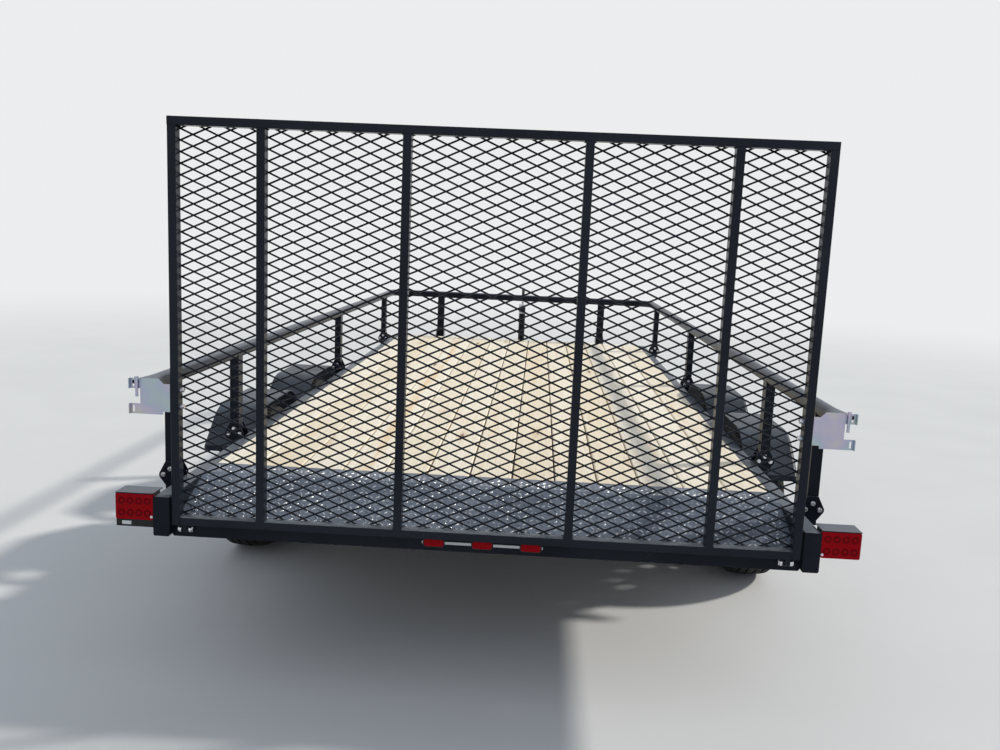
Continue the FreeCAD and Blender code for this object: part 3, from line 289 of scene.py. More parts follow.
def finished(coat, radius, reach, *nodes):
    """Makes modelled pieces whole from their facets, and rounds the arrises longer than the reach."""
    for node in nodes:
        shape = bmesh.new()
        shape.from_mesh(frame["nodes"][node].data)
        bmesh.ops.remove_doubles(shape, verts=shape.verts, dist=MERGE)
        for edge in shape.edges:
            edge.smooth = True
        bmesh.ops.dissolve_limit(shape, angle_limit=FLAT_TURN, verts=shape.verts, edges=shape.edges)
        arrises = [edge for edge in shape.edges if edge.is_convex and edge.calc_face_angle(0.0) > ARRIS_TURN
                   and edge.calc_length() > reach]
        if radius and arrises:
            rounded = bmesh.ops.bevel(shape, geom=arrises, offset=radius, offset_type="OFFSET", segments=2,
                                      profile=0.5, affect="EDGES", material=-1, clamp_overlap=True)["faces"]
            bent = set(rounded)
            for face in rounded:
                for edge in face.edges:
                    edge.smooth = all(beside in bent for beside in edge.link_faces)
        piece(node + "_finished", shape, coat, frame["nodes"][node]["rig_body"], SLOTS[node], node)


def weld(shape, start, end, width):
    """A weld bead laid between two points in overlapping ripples."""
    way = end - start
    turn = way.to_track_quat("X", "Z").to_matrix().to_4x4()
    ripples = max(2, round(way.length / (0.4 * width)))
    for ripple in range(ripples + 1):
        place = Matrix.Translation(start + way * (ripple / ripples)) @ turn
        bmesh.ops.create_icosphere(shape, subdivisions=1, radius=width / 2,
                                   matrix=place @ Matrix.Diagonal((0.8, 1.0, 0.8, 1.0)))


def powder_coat(name, dark, light, gloss, shine):
    """A black powder coat between two tones."""
    coat = Coat(name, Specular_IOR_Level=shine)
    cloud = coat.noise(2.6, 4.0)
    specks = coat.noise(95.0, 2.0).rise(0.66, 0.74)
    upper = coat.facing("Z").rise(0.55, 1.0)
    dust = upper * coat.noise(7.0, 5.0).rise(0.25, 0.75)
    film = (1.0 - coat.axis("Z").rise(0.15, 0.75)) * cloud
    tone = cloud.rise(0.3, 0.7).blend(dark, light)
    # Painted sheen: faces that point up are blended towards pale blue-grey, a painted reflection of the sky.
    painted_sky_sheen = (upper * 0.42).blend(tone, (0.25, 0.29, 0.36, 1.0))
    dusty = (dust * 0.20 + film * 0.05 + specks * 0.04).blend(painted_sky_sheen, (0.22, 0.215, 0.20, 1.0))
    rough = gloss + cloud * 0.08 + dust * 0.14 + specks * 0.1
    return coat.wear(dusty, rough, relief=coat.noise(420.0, 2.0), depth=0.00012)


frame_coat = powder_coat("frame_powder_coat", (0.005, 0.0075, 0.0130, 1.0), (0.010, 0.0135, 0.0210, 1.0),
                         0.26, 0.08)
finished(frame_coat, 0.0, 0.0, "side_rail_left", "side_rail_right")
finished(frame_coat, 0.002, 0.05, "header", "crossmembers", "tongue_beam_left", "tongue_beam_right")
finished(frame_coat, 0.0012, 0.03, "rear_sill", "jack_plate")
FRAME_BEADS = (  # start and end as distance out, station and height, then the bead's width
    ((0.984, 4.7602, 0.520), (0.984, 4.7602, 0.633), 0.008),
    ((0.984, 0.0300, 0.512), (0.984, 0.0300, 0.541), 0.007),
    ((0.534, 4.7610, 0.5125), (0.579, 4.7610, 0.5125), 0.009),
    ((0.777, 4.3000, 0.5125), (0.756, 4.3450, 0.5125), 0.009))
beads = bmesh.new()
for side in (-1, 1):
    for (out, *start), (end_out, *end), wide in FRAME_BEADS:
        weld(beads, spot(side * out, *start), spot(side * end_out, *end), wide)
piece("frame_welds", beads, frame_coat, "chassis", "frame_black")


# Deck: thirteen treated pine boards, sawn and planed, each with its own tone and grain, knots
# and amber resin streaks and here and there a green tint, screwed down to the cross channels.
BOARDS, BED_HALF, DECK_TOP = 13, 0.984, 0.645
BOARD_PITCH = 2 * BED_HALF / BOARDS
STREAK_AT = -0.472
CROSS_FIRST, CROSS_PITCH, CROSS_COUNT = 0.488, 0.590, 8
pine = Coat("deck_pine", Specular_IOR_Level=0.25)
side_place = pine.axis("X")
number = pine.node("ShaderNodeMath", {"operation": "FLOOR"}, {0: (side_place + BED_HALF) * (1 / BOARD_PITCH)})
chance = pine.node("ShaderNodeTexWhiteNoise", {"noise_dimensions": "1D"}, {"W": number + 4.3})
second = pine.node("ShaderNodeTexWhiteNoise", {"noise_dimensions": "1D"}, {"W": number + 31.7})
offset = pine.node("ShaderNodeCombineXYZ", {}, {"X": chance * 9.0, "Y": number * 3.3, "Z": second * 7.0})
board_place = pine.node("ShaderNodeVectorMath", {"operation": "ADD"}, {0: pine.place, 1: offset})
wander = pine.noise(1.5, 2.0, (1.0, 0.35, 1.0), board_place)
rings = pine.node("ShaderNodeTexNoise", {}, {
    "Vector": pine.node("ShaderNodeMapping", {}, {"Vector": board_place, "Scale": (34.0, 0.55, 30.0)}),
    "Scale": 1.0, "Detail": 2.0, "Distortion": 1.1})
bands = pine.node("ShaderNodeMath", {"operation": "SINE"}, {0: rings * 42.0 + wander * 16.0})
grain = (bands * 0.5 + 0.5) ** 1.7
fibre = pine.noise(1.0, 3.0, (420.0, 9.0, 420.0), board_place)
knots = pine.node("ShaderNodeTexVoronoi", {}, {
    "Vector": pine.node("ShaderNodeMapping", {}, {"Vector": board_place, "Scale": (7.5, 1.35, 7.5)}),
    "Scale": 1.0}, "Distance")
knot = 1.0 - knots.rise(0.035, 0.085)
halo = 1.0 - knots.rise(0.05, 0.24)
blush = pine.noise(1.0, 3.0, (9.0, 0.9, 9.0), board_place).rise(0.55, 0.80)
streak_line = side_place - STREAK_AT + (pine.noise(0.7, 2.0) - 0.5) * 0.12
streak = streak_line.near(0.0, 0.045) * pine.noise(1.0, 3.0, (40.0, 1.6, 1.0)).rise(0.30, 0.60)
straw = chance.blend((0.87, 0.78, 0.615, 1.0), (0.97, 0.92, 0.810, 1.0))
tinted = (second.rise(0.5, 1.0) * pine.noise(1.0, 2.0, (16.0, 0.5, 1.0)).rise(0.3, 0.7) * 0.3).blend(
    straw, (0.76, 0.82, 0.64, 1.0))
lines = (grain * 0.30).blend(tinted, (0.72, 0.54, 0.32, 1.0))
amber = (blush * 0.34 + streak * 0.60).blend(lines, (0.80, 0.52, 0.22, 1.0))
ringed = (halo * 0.40).blend(amber, (0.56, 0.36, 0.17, 1.0))
knotted = knot.blend(ringed, (0.13, 0.070, 0.035, 1.0))
sawn = (fibre.rise(0.35, 0.75) * 0.16).blend(knotted, (0.90, 0.82, 0.66, 1.0))
# Painted shade: below the top few millimetres the sides of the boards turn dark brown, shade painted into the
# gaps between them.
gap_shade = 1.0 - pine.axis("Z").rise(0.622, 0.642)
gap_shaded = (gap_shade * 0.9).blend(sawn, (0.075, 0.044, 0.022, 1.0))
pine.wear(gap_shaded, 0.62 + fibre * 0.18 - knot * 0.15,
          relief=fibre * 0.6 - grain * 0.5 - knot * 0.6, depth=0.0006)
pine.onto("deck_boards")


WASHER_THICK = 0.0016


def hex_head(shape, place, size, high, washer=0.0):
    """A hexagon head, crowned on top, standing on its place: its radius, height and washer's radius."""
    foot = 0.0
    if washer:
        foot = WASHER_THICK
        bmesh.ops.create_cone(shape, cap_ends=True, segments=18, radius1=washer, radius2=washer * 0.95,
                              depth=foot, matrix=place @ Matrix.Translation((0.0, 0.0, foot / 2)))
    made = bmesh.ops.create_cone(shape, cap_ends=True, segments=6, radius1=size, radius2=size, depth=high,
                                 matrix=place @ Matrix.Translation((0.0, 0.0, foot + high / 2)))
    outward = place.to_3x3() @ Vector((0.0, 0.0, 1.0))
    top = max({face for vert in made["verts"] for face in vert.link_faces},
              key=lambda face: face.calc_center_median().dot(outward))
    bmesh.ops.inset_region(shape, faces=[top], thickness=size * 0.14, depth=size * 0.09)


def repeat(shape, step, count):
    """Copies everything in a shape along a step until there are count of it."""
    first = shape.verts[:] + shape.edges[:] + shape.faces[:]
    for index in range(1, count):
        copy = bmesh.ops.duplicate(shape, geom=first)["geom"]
        moved = [item for item in copy if isinstance(item, bmesh.types.BMVert)]
        bmesh.ops.translate(shape, vec=step * index, verts=moved)


SCREW_IN, SCREW_R, SCREW_TOP_R, SCREW_HIGH = 0.040, 0.0055, 0.0045, 0.0012
RECESS_IN, RECESS_DEEP = 0.0022, 0.0014
deck_screws = bmesh.new()
for way in (-1, 1):
    head_at = spot(BOARD_PITCH / 2 - BED_HALF + way * SCREW_IN, CROSS_FIRST, DECK_TOP)
    made = bmesh.ops.create_cone(deck_screws, cap_ends=True, segments=12, radius1=SCREW_R,
                                 radius2=SCREW_TOP_R, depth=SCREW_HIGH, matrix=Matrix.Translation(head_at))
    crown = max({face for vert in made["verts"] for face in vert.link_faces},
                key=lambda face: face.calc_center_median().z)
    bmesh.ops.inset_region(deck_screws, faces=[crown], thickness=RECESS_IN, depth=-RECESS_DEEP)
repeat(deck_screws, Vector((BOARD_PITCH, 0.0, 0.0)), BOARDS)
repeat(deck_screws, Vector((0.0, CROSS_PITCH, 0.0)), CROSS_COUNT)
screw_steel = Coat("screw_steel", Metallic=1.0)
tarnish = screw_steel.noise(40.0, 3.0)
screw_steel.wear(tarnish.blend((0.34, 0.33, 0.30, 1.0), (0.66, 0.65, 0.62, 1.0)), 0.35 + tarnish * 0.3)
piece("deck_screws", deck_screws, screw_steel, "chassis", "zinc")


# Tread plate: rolled steel with raised lens-shaped lugs in a basket pattern, bent over the
# rear crossmember and screwed to it. The coat is thin on the lugs' crowns, where steel shows.
LUG_PITCH, FIRST_COLUMN, FIRST_ROW = 0.0198, 1.2, 0.6
LUG_LONG, LUG_WIDE, LUG_HIGH, LUG_CROWN = 0.0125, 0.0034, 0.0016, 0.45
SLOPE_FOOT, SLOPE_HEAD = spot(0.0, 0.036, 0.543), spot(0.0, 0.300, 0.645)
SLOPE_SCREW_AT, SLOPE_SCREW_UP = 0.940, 0.0735
TREAD_SCREW = (0.0058, 0.0035, 0.0080)
plate_low, plate_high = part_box("tread_plate")
slope = (SLOPE_HEAD - SLOPE_FOOT).normalized()
flat = Vector((0.0, 1.0, 0.0))
sideways = Vector((1.0, 0.0, 0.0))
lugs = bmesh.new()
for start, along, reach in ((SLOPE_FOOT, slope, (SLOPE_HEAD - SLOPE_FOOT).length),
                            (SLOPE_HEAD, flat, plate_high.y - SLOPE_HEAD.y)):
    plane = Matrix((sideways, along, sideways.cross(along))).transposed().to_4x4()
    panel = bmesh.new()
    for row in range(2):
        for column in range(2):
            turn = math.radians(45 if (row + column) % 2 else -45)
            centre = Vector((plate_low.x, start.y, start.z)) + sideways * (column + FIRST_COLUMN) * LUG_PITCH
            place = Matrix.Translation(centre + along * (row + FIRST_ROW) * LUG_PITCH)
            bmesh.ops.create_cone(panel, cap_ends=True, segments=8, radius1=1.0, radius2=LUG_CROWN, depth=2.0,
                                  matrix=place @ plane @ Matrix.Rotation(turn, 4, "Z")
                                  @ Matrix.Diagonal((LUG_LONG, LUG_WIDE, LUG_HIGH, 1.0)))
    repeat(panel, sideways * 2 * LUG_PITCH, int((plate_high.x - plate_low.x - LUG_PITCH) / LUG_PITCH / 2))
    repeat(panel, along * 2 * LUG_PITCH, int(reach / LUG_PITCH / 2))
    part = bpy.data.meshes.new("lug_panel")
    panel.to_mesh(part)
    panel.free()
    lugs.from_mesh(part)
    bpy.data.meshes.remove(part)
tread_coat = Coat("tread_coat", Specular_IOR_Level=0.2)
scuff = tread_coat.noise(38.0, 4.0)
grime = tread_coat.noise(5.0, 5.0)
tread_coat.wear(grime.rise(0.3, 0.8).blend((0.105, 0.130, 0.175, 1.0), (0.190, 0.225, 0.290, 1.0)),
                0.32 + scuff * 0.25, relief=tread_coat.noise(300.0), depth=0.0001)
tread_coat.onto("tread_plate")
crown_coat = Coat("worn_lugs", Specular_IOR_Level=0.3)
rub = crown_coat.noise(60.0, 3.0)
crown_coat.wear(rub.rise(0.38, 0.66).blend((0.150, 0.175, 0.215, 1.0), (0.72, 0.74, 0.77, 1.0)),
                0.28 + rub * 0.2, rub.rise(0.40, 0.66), relief=crown_coat.noise(500.0), depth=0.0001)
piece("tread_lugs", lugs, crown_coat, "chassis", "tread_plate")


def zinc_plate(name, tone, gloss, tint):
    """Clear zinc plating with a faint rainbow."""
    coat = Coat(name, Metallic=1.0)
    wash = coat.noise(11.0, 2.0)
    hue = coat.node("ShaderNodeValToRGB", {"stops": (
        (0.30, (0.38, 0.54, 0.46, 1.0)), (0.45, (0.36, 0.43, 0.58, 1.0)),
        (0.55, (0.52, 0.42, 0.60, 1.0)), (0.70, (0.58, 0.56, 0.44, 1.0)))}, {0: wash})
    spangle = coat.noise(130.0, 3.0)
    plated = (spangle * 0.12 + tint).blend(tone, hue)
    return coat.wear(plated, gloss + spangle * 0.14, relief=spangle, depth=0.00005)


fastener = zinc_plate("zinc_fasteners", (0.68, 0.69, 0.71, 1.0), 0.20, 0.12)
tread_screws = bmesh.new()
for side in (-1, 1):
    place = Matrix.Translation(SLOPE_FOOT + slope * SLOPE_SCREW_UP + sideways * side * SLOPE_SCREW_AT)
    hex_head(tread_screws, place @ Matrix((sideways, slope, sideways.cross(slope))).transposed().to_4x4(),
             *TREAD_SCREW)
piece("tread_screws", tread_screws, fastener, "chassis", "zinc")


# Loading gate: rectangular tube on edge, welded at the corners and the uprights and coated
# black. The mesh is one steel sheet, slit and drawn out into diamonds, so its strands lean.
MESH_LONG, MESH_SHORT = 0.0762, 0.0339
STRAND_HALF, STRAND_THICK, STRAND_LEAN = 0.0026, 0.0022, 0.0016
GATE_HALF, GATE_LOW, GATE_HIGH, TUBE_WIDE, TUBE_DEEP = 0.977, 0.551, 1.799, 0.0254, 0.0381
UPRIGHTS = (-0.698, -0.266, 0.266, 0.698)
BEAD_OFF, BEAD_END, BEAD_WIDE = 0.001, 0.003, 0.0065
FACE_BEAD_OFF, FACE_BEAD_END, FACE_BEAD_WIDE = 0.0002, 0.002, 0.0055
TACKS, TACK_FIRST, TACK_IN, TACK_HALF, TACK_WIDE = 9, 0.06, 0.016, 0.004, 0.006
gate_coat = powder_coat("gate_powder_coat", (0.006, 0.0090, 0.0155, 1.0), (0.011, 0.0155, 0.0245, 1.0),
                        0.24, 0.14)
finished(gate_coat, 0.0025, 0.2, "gate_top_bar", "gate_bottom_bar", "gate_side_bars", "gate_uprights")
gate_beads = bmesh.new()
low_joint, high_joint = GATE_LOW + TUBE_WIDE, GATE_HIGH - TUBE_WIDE
for x in UPRIGHTS:
    for side in (-1, 1):
        for z in (low_joint, high_joint):
            edge_x = x + side * (TUBE_WIDE / 2 + BEAD_OFF)
            weld(gate_beads, spot(edge_x, BEAD_END, z), spot(edge_x, TUBE_DEEP - BEAD_END, z), BEAD_WIDE)
for side in (-1, 1):
    inner_x = side * (GATE_HALF - TUBE_WIDE)
    for z, lift in ((low_joint, BEAD_OFF), (high_joint, -BEAD_OFF)):
        weld(gate_beads, spot(inner_x - side * BEAD_OFF, BEAD_END, z + lift),
             spot(inner_x - side * BEAD_OFF, TUBE_DEEP - BEAD_END, z + lift), BEAD_WIDE)
    weld(gate_beads, spot(inner_x, FACE_BEAD_OFF, GATE_LOW + BEAD_END),
         spot(inner_x, FACE_BEAD_OFF, low_joint - FACE_BEAD_END), FACE_BEAD_WIDE)
    for tack in range(TACKS):
        z = low_joint + TACK_FIRST + tack * (high_joint - low_joint - 2 * TACK_FIRST) / (TACKS - 1)
        weld(gate_beads, spot(side * (GATE_HALF - TACK_IN), TUBE_DEEP + BEAD_END, z - TACK_HALF),
             spot(side * (GATE_HALF - TACK_IN), TUBE_DEEP + BEAD_END, z + TACK_HALF), TACK_WIDE)
piece("gate_welds", gate_beads, gate_coat, "gate", "gate_black")
mesh_low, mesh_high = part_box("gate_mesh_rising")
mesh_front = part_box("gate_mesh_falling")[1].y
middle = (mesh_low + mesh_high) / 2
diamonds = 2 * math.ceil((mesh_high.x - mesh_low.x) / 2 / MESH_LONG
                         + (mesh_high.z - mesh_low.z) / 2 / MESH_SHORT)
net = bmesh.new()
bmesh.ops.create_grid(net, x_segments=diamonds, y_segments=diamonds, size=diamonds / 2)
bmesh.ops.transform(net, verts=net.verts, matrix=Matrix((
    (MESH_LONG / 2, -MESH_LONG / 2, 0.0, 0.0),
    (0.0, 0.0, -1.0, (mesh_low.y + mesh_front) / 2),
    (MESH_SHORT / 2, MESH_SHORT / 2, 0.0, middle.z),
    (0.0, 0.0, 0.0, 1.0))))
outside = [face for face in net.faces if abs(face.calc_center_median().x) > mesh_high.x + MESH_LONG
           or abs(face.calc_center_median().z - middle.z) > mesh_high.z - middle.z + MESH_SHORT]
bmesh.ops.delete(net, geom=outside, context="FACES")
holes = net.faces[:]
bmesh.ops.inset_individual(net, faces=holes, thickness=STRAND_HALF, use_even_offset=True)
for hole in holes:
    ordered = sorted(hole.verts, key=lambda vert: vert.co.z)
    ordered[0].co.y += STRAND_LEAN
    ordered[-1].co.y -= STRAND_LEAN
bmesh.ops.delete(net, geom=holes, context="FACES")
for corner, outward in ((mesh_low, (-1, 0, 0)), (mesh_low, (0, 0, -1)),
                        (mesh_high, (1, 0, 0)), (mesh_high, (0, 0, 1))):
    bmesh.ops.bisect_plane(net, geom=net.verts[:] + net.edges[:] + net.faces[:], plane_co=corner,
                           plane_no=outward, clear_outer=True)
bmesh.ops.solidify(net, geom=net.faces[:], thickness=STRAND_THICK)
piece("gate_mesh", net, gate_coat, "gate", "gate_black", "gate_mesh_rising", "gate_mesh_falling", sharp=0.3)


# Latches and hinges: zinc-plated plate and bolts, pale and a little cloudy, with the faint
# green and pink of the passivating bath. Bolts go through the side bars, pins through ears.
zinc = zinc_plate("zinc_plating", (0.41, 0.44, 0.50, 1.0), 0.32, 0.42)
finished(zinc, 0.0005, 0.012, "gate_latches")
finished(fastener, 0.0, 0.0, "hinge_pins")
LATCH_BOLT_HEIGHTS, LATCH_BOLT_PAST, LATCH_THICK = (0.928, 0.980), 0.006, 0.003
LATCH_NUT, LATCH_BOLT = (0.0075, 0.006), (0.0080, 0.007)
HINGE_STATION, HINGE_HEIGHT, HINGE_PAST = 0.016, 0.535, 0.007
HINGE_ENDS = ((0.925, -1), (0.951, 1))
HINGE_HEAD = (0.0080, 0.003)
latch_bolts = bmesh.new()
for side in (-1, 1):
    inward = Matrix.Rotation(math.radians(-90 * side), 4, "Y")
    for z in LATCH_BOLT_HEIGHTS:
        inner = spot(side * (GATE_HALF - TUBE_WIDE - LATCH_BOLT_PAST), TUBE_DEEP / 2, z)
        outer = spot(side * (GATE_HALF + LATCH_THICK), TUBE_DEEP / 2, z)
        hex_head(latch_bolts, Matrix.Translation(inner) @ inward, *LATCH_NUT)
        hex_head(latch_bolts, Matrix.Translation(outer) @ inward.inverted(), *LATCH_BOLT)
piece("latch_bolt_heads", latch_bolts, fastener, "gate", "zinc")
hinge_heads = bmesh.new()
for side in (-1, 1):
    for x, way in HINGE_ENDS:
        end = Matrix.Translation(spot(side * (x + way * HINGE_PAST), HINGE_STATION, HINGE_HEIGHT))
        hex_head(hinge_heads, end @ Matrix.Rotation(math.radians(90 * side * way), 4, "Y"), *HINGE_HEAD)
piece("hinge_pin_heads", hinge_heads, fastener, "chassis", "zinc")


# Top rail and posts: a round tube pressed oval at its open ends, on short tube posts coped
# and welded to it. A pair of cut plates at each post's foot is bolted through with zinc bolts.
RAIL_AT, RAIL_HIGH, RAIL_R = 1.068, 0.985, 0.0254
POST_AT, POST_HALF, POST_DEEP_HALF, FOOT_PLATE = 1.062, 0.018, 0.027, 0.004
POST_STATIONS = (0.230, 0.865, 2.735, 4.350)
FRONT_POSTS, FRONT_STATION, FRONT_RAIL = (-0.660, 0.660), 4.786, 4.792
FRAME_TOP = 0.640
PLATE_FACE = POST_DEEP_HALF + FOOT_PLATE
FOOT_BOLTS = ((0.0, 0.036), (-0.023, 0.016), (0.023, 0.016))
FOOT_BOLT, COPE_BEAD = (0.0065, 0.0055, 0.0085), 0.006
finished(frame_coat, 0.0, 0.0, "top_rail_left", "top_rail_right", "top_rail_front")
finished(frame_coat, 0.0025, 0.2, "posts_left", "posts_right", "posts_front")
finished(frame_coat, 0.0006, 0.008, "post_feet")
foot_bolts = bmesh.new()
post_beads = bmesh.new()


def cope(shape, post, rail, ways):
    """Beads round a post's top, along the line where it meets the rail above it."""
    side, along, half, deep = ways
    line = []
    for step in range(7):
        off = (step / 3 - 1) * half
        reach = (post - rail).dot(side) + off
        drop = math.sqrt(max(RAIL_R ** 2 - reach ** 2, 0.0))
        line.append(post + side * off + Vector((0.0, 0.0, RAIL_HIGH - drop - BEAD_OFF)))
    for way in (-1, 1):
        for first, last in zip(line, line[1:]):
            weld(shape, first + along * way * deep, last + along * way * deep, COPE_BEAD)


for side in (-1, 1):
    for station in POST_STATIONS:
        foot = spot(side * POST_AT, station, 0.0)
        cope(post_beads, foot, spot(side * RAIL_AT, station, 0.0),
             (Vector((side, 0.0, 0.0)), Vector((0.0, 1.0, 0.0)), POST_HALF, POST_DEEP_HALF))
        for way in (-1, 1):
            facing = Matrix.Rotation(math.radians(90 * -way), 4, "X")
            for off, rise in FOOT_BOLTS:
                place = spot(side * POST_AT + off, station + way * PLATE_FACE, FRAME_TOP + rise)
                hex_head(foot_bolts, Matrix.Translation(place) @ facing, *FOOT_BOLT)
for x in FRONT_POSTS:
    cope(post_beads, spot(x, FRONT_STATION, 0.0), spot(x, FRONT_RAIL, 0.0),
         (Vector((0.0, 1.0, 0.0)), Vector((1.0, 0.0, 0.0)), POST_HALF, POST_DEEP_HALF))
    for way in (-1, 1):
        facing = Matrix.Rotation(math.radians(90 * way), 4, "Y")
        for off, rise in FOOT_BOLTS:
            place = spot(x + way * PLATE_FACE, FRONT_STATION + off, FRAME_TOP + rise)
            hex_head(foot_bolts, Matrix.Translation(place) @ facing, *FOOT_BOLT)
piece("post_foot_bolts", foot_bolts, fastener, "chassis", "zinc")
piece("post_welds", post_beads, frame_coat, "chassis", "frame_black")


# Running gear: two tube axles under leaf packs on each side. U-bolts round each axle clamp its
# spring between the seat and a tie plate, and shackles and an equalizer share the load.
SPRING_AT, AXLE_HIGH, AXLE_R = 1.010, 0.3315, 0.030
AXLE_STATIONS = (1.400, 2.240)
TANDEM_MIDDLE, TANDEM_HALF = sum(AXLE_STATIONS) / 2, (AXLE_STATIONS[1] - AXLE_STATIONS[0]) / 2
PACK_FOOT, PACK_CENTRE, LEAF = 1.74307, 2.14657, 0.007
PACK_MIDDLE, PACK_REACH = 0.0175, 0.0195
U_BOLT_R, U_BOLT_OUT, U_BOLT_PAST, TIE_TOP = 0.0055, 0.029, 0.022, 0.4115
CLAMP_NUT, CENTRE_BOLT, EYE_BOLT = (0.0095, 0.010, 0.0115), (0.008, 0.006), (0.0100, 0.0055)
EYE_BOLTS = (  # station, height, and how far the heads stand from the spring's middle
    (1.078, 0.4335, 0.0285), (1.820, 0.4705, 0.0285), (2.562, 0.4335, 0.0285), (1.722, 0.4335, 0.0268),
    (1.722, 0.4785, 0.0268), (1.918, 0.4335, 0.0268), (1.918, 0.4785, 0.0268))
spring_paint = Coat("spring_paint", Specular_IOR_Level=0.2)
rust = spring_paint.noise(24.0, 5.0)
run = (spring_paint.axis("Y") + HALF_LENGTH - TANDEM_MIDDLE).size() - TANDEM_HALF
rise_from = PACK_CENTRE - spring_paint.axis("Z")
from_centre = (run * run + rise_from * rise_from) ** 0.5
layer = from_centre.sum("PINGPONG", from_centre - PACK_FOOT, LEAF / 2)
seam = (1.0 - layer.rise(0.0002, 0.0007)) * from_centre.near(
    PACK_FOOT + PACK_MIDDLE, PACK_REACH).rise(0.0, 0.05)
painted = rust.rise(0.45, 0.75).blend((0.018, 0.018, 0.019, 1.0), (0.040, 0.034, 0.029, 1.0))
spring_paint.wear(seam.blend(painted, (0.002, 0.002, 0.002, 1.0)), 0.50 + rust * 0.2,
                  relief=rust * 0.3 - seam, depth=0.0006)
running_coat = powder_coat("axle_paint", (0.012, 0.012, 0.014, 1.0), (0.024, 0.024, 0.025, 1.0), 0.45, 0.2)
finished(running_coat, 0.0, 0.0, "axles", "equalizers", "shackles")
finished(running_coat, 0.001, 0.02, "hangers")
finished(spring_paint, 0.0005, 0.03, "springs")
clamps = bmesh.new()
clamp_nuts = bmesh.new()
for side in (-1, 1):
    for station in AXLE_STATIONS:
        for out in (-U_BOLT_OUT, U_BOLT_OUT):
            axle_at = spot(side * SPRING_AT + out, station, AXLE_HIGH)
            bend = AXLE_R + U_BOLT_R
            ring = bmesh.ops.create_circle(clamps, cap_ends=False, radius=U_BOLT_R, segments=8,
                                           matrix=Matrix.Translation(axle_at - Vector((0.0, bend, 0.0))))
            edges = list({edge for vert in ring["verts"] for edge in vert.link_edges})
            swept = bmesh.ops.spin(clamps, geom=ring["verts"] + edges, cent=axle_at, axis=(1.0, 0.0, 0.0),
                                   angle=math.pi, steps=12)["geom_last"]
            for loop in (edges, [item for item in swept if isinstance(item, bmesh.types.BMEdge)]):
                leg = bmesh.ops.extrude_edge_only(clamps, edges=loop)["geom"]
                tip = [item for item in leg if isinstance(item, bmesh.types.BMVert)]
                bmesh.ops.translate(clamps, vec=(0.0, 0.0, TIE_TOP + U_BOLT_PAST - AXLE_HIGH), verts=tip)
                bmesh.ops.contextual_create(clamps, geom=tip)
            for way in (-1, 1):
                hex_head(clamp_nuts, Matrix.Translation(Vector((axle_at.x, axle_at.y + way * bend, TIE_TOP))),
                         *CLAMP_NUT)
        hex_head(clamp_nuts, Matrix.Translation(spot(side * SPRING_AT, station, TIE_TOP)), *CENTRE_BOLT)
for side in (-1, 1):
    for station, z, out in EYE_BOLTS:
        for way in (-1, 1):
            place = Matrix.Translation(spot(side * SPRING_AT + way * out, station, z))
            hex_head(clamp_nuts, place @ Matrix.Rotation(math.radians(90 * way), 4, "Y"), *EYE_BOLT)
bmesh.ops.recalc_face_normals(clamps, faces=clamps.faces)
piece("u_bolts", clamps, fastener, "chassis", "zinc", sharp=0.9)
piece("running_gear_nuts", clamp_nuts, fastener, "chassis", "zinc")


# Tyres: moulded rubber with straight grooves between ribs, notched shoulders, sipes across
# the ribs, a rim guard and plain walls. Each sits on the bead seats of its rim.
TYRE_STEPS, NOTCH_EVERY = 180, 3
NOTCH_HIGH, NOTCH_IN, NOTCH_OUT = 0.3165, 0.056, 0.087
SIPE_HIGH, SIPE_IN, SIPE_OUT = 0.3292, 0.023, 0.047
TYRE_HALF = (  # half of the outline, from the bead to the tread: distance out and radius
    (0.0700, 0.1812), (0.0713, 0.1900), (0.0740, 0.1932), (0.0800, 0.1972), (0.0862, 0.2040),
    (0.0880, 0.2070), (0.0918, 0.2085), (0.0955, 0.2230), (0.0976, 0.2420), (0.0980, 0.2600),
    (0.0968, 0.2780), (0.0935, 0.2950), (0.0890, 0.3100), (0.0845, 0.3195), (0.0775, 0.3240),
    (0.0620, 0.3272), (0.0560, 0.3280), (0.0540, 0.3215), (0.0490, 0.3215), (0.0470, 0.3292),
    (0.0230, 0.3309), (0.0210, 0.3243), (0.0150, 0.3243), (0.0130, 0.3314), (0.0040, 0.3315))
WHEELS = [(end, side_name, side, station) for end, station in zip(("rear", "front"), AXLE_STATIONS)
          for side_name, side in (("left", -1), ("right", 1))]
WHEEL_AT = 1.142
rubber = Coat("tyre_rubber", Specular_IOR_Level=0.2)
mould = rubber.noise(14.0, 4.0)
road_dust = rubber.noise(5.0, 5.0).rise(0.45, 0.80)
rubber.wear((road_dust * 0.25).blend(
    mould.rise(0.3, 0.8).blend((0.018, 0.018, 0.019, 1.0), (0.032, 0.031, 0.031, 1.0)),
    (0.085, 0.078, 0.068, 1.0)), 0.68 + mould * 0.15, relief=rubber.noise(240.0), depth=0.0002)
